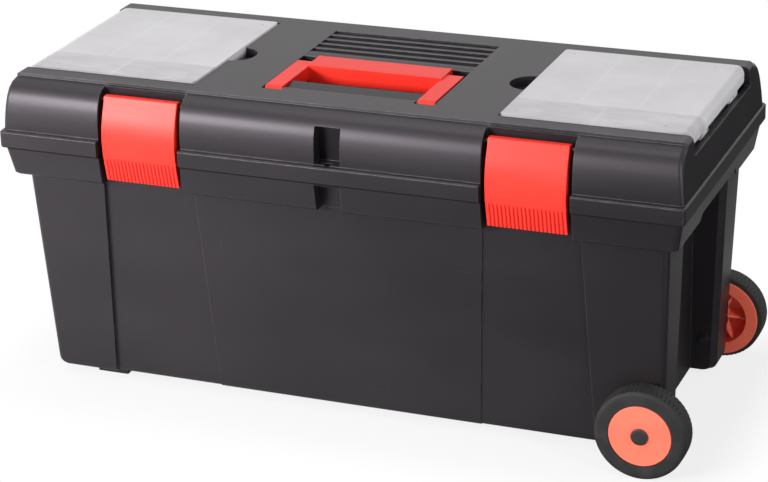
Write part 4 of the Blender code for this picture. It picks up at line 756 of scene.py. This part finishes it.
# White paper: lit and shaded near the box, fading to plain white further out.
def makeFloor():
    shape = bmesh.new()
    corners = ((-1, -1), (1, -1), (1, 1), (-1, 1))
    reach = paperLook["reach"]
    shape.faces.new([shape.verts.new((x * reach, y * reach, 0.0)) for x, y in corners])
    mesh = bpy.data.meshes.new("studioFloor")
    shape.to_mesh(mesh)
    shape.free()
    floor = bpy.data.objects.new("studioFloor", mesh)
    scene.collection.objects.link(floor)
    paper = Finish("studioPaper")
    tooth = paper.noise(paperLook["toothScale"], 2.0)
    paper.set(Base_Color=paperLook["colour"],
              Roughness=paperLook["roughness"] + tooth * paperLook["toothGloss"])
    plain = paper.node("ShaderNodeEmission", {}, {"Color": paperLook["white"], "Strength": 1.0})
    dark = paper.node("ShaderNodeBsdfDiffuse", {}, {"Color": paperLook["dimColour"]})
    lit = paper.mixShader(whitening(paper), paper.main(), plain)
    # Painted reflection: gloss sees a dark sheet over the paper where dimming is high.
    paper.feed(paper.surface, paper.mixShader(dimming(paper), lit, dark))
    mesh.materials.append(paper.material)


roomLook = {"colour": (1.0, 1.0, 1.0), "light": 0.30, "backdrop": (1.0, 1.0, 1.0)}


# A soft even room light; the camera, gloss and glass see it as plain white.
def makeWorld():
    world = bpy.data.worlds.new("studioLight")
    scene.world = world
    room = NodeTree(world)
    light = room.node("ShaderNodeBackground", {},
                      {"Color": roomLook["colour"], "Strength": roomLook["light"]})
    backdrop = room.node("ShaderNodeBackground", {},
                         {"Color": roomLook["backdrop"], "Strength": 1.0})
    seen = room.rayIs("Camera").atLeast(room.rayIs("Glossy")).atLeast(room.rayIs("Transmission"))
    room.feed(room.nodes["World Output"].inputs["Surface"], room.mixShader(seen, light, backdrop))


lamps = {
    "softKey": {"place": (-1.6, -1.9, 0.85), "aim": (0, 0, 0.18), "size": (1.9, 1.25),
                "power": 28.0},
    "softTop": {"place": (-0.4, 0.0, 2.3), "aim": (0, 0, 0.2), "size": (1.8, 1.4),
                "power": 13.0},
    "domeBox": {"place": (-1.2, -2.05, 0.90), "aim": (-0.1, -0.12, 0.27), "size": (0.8, 0.45),
                "power": 46.0},
    "edgeStrip": {"place": (1.6, -0.9, 0.55), "aim": (0.35, -0.1, 0.25), "size": (0.15, 0.8),
                  "power": 8.0},
}


def makeLamp(name, place, aim, size, power):
    light = bpy.data.lights.new(name, "AREA")
    light.shape = "RECTANGLE"
    light.size, light.size_y = size
    light.energy = power
    lamp = bpy.data.objects.new(name, light)
    scene.collection.objects.link(lamp)
    lamp.location = place
    lamp.rotation_euler = (Vector(aim) - Vector(place)).to_track_quat("-Z", "Y").to_euler()


# Place in metres, angles in radians, lens and film width in millimetres.
photoView = {"place": (0.90736, -2.24601, 1.13031), "yaw": 0.387194, "down": 0.386874,
             "roll": -0.028422, "lens": 119.0974, "film": 36.0, "clip": (0.05, 60.0)}


def makeCamera():
    data = bpy.data.cameras.new("photoCamera")
    data.lens = photoView["lens"]
    data.sensor_width = photoView["film"]
    data.clip_start, data.clip_end = photoView["clip"]
    camera = bpy.data.objects.new("photoCamera", data)
    scene.collection.objects.link(camera)
    yaw, down, roll = photoView["yaw"], photoView["down"], photoView["roll"]
    ahead = Vector((-math.sin(yaw), math.cos(yaw), 0))
    side = Vector((math.cos(yaw), math.sin(yaw), 0))
    forward = ahead * math.cos(down) - Vector((0, 0, math.sin(down)))
    above = ahead * math.sin(down) + Vector((0, 0, math.cos(down)))
    right = side * math.cos(roll) + above * math.sin(roll)
    top = above * math.cos(roll) - side * math.sin(roll)
    turn = Matrix((right, top, -forward)).transposed().to_4x4()
    camera.matrix_world = Matrix.Translation(photoView["place"]) @ turn
    scene.camera = camera


makeFloor()
makeWorld()
for name, lamp in lamps.items():
    makeLamp(name, **lamp)
makeCamera()
scene.view_settings.view_transform = "Standard"
print("studio ready")

bpy.context.view_layer.update()
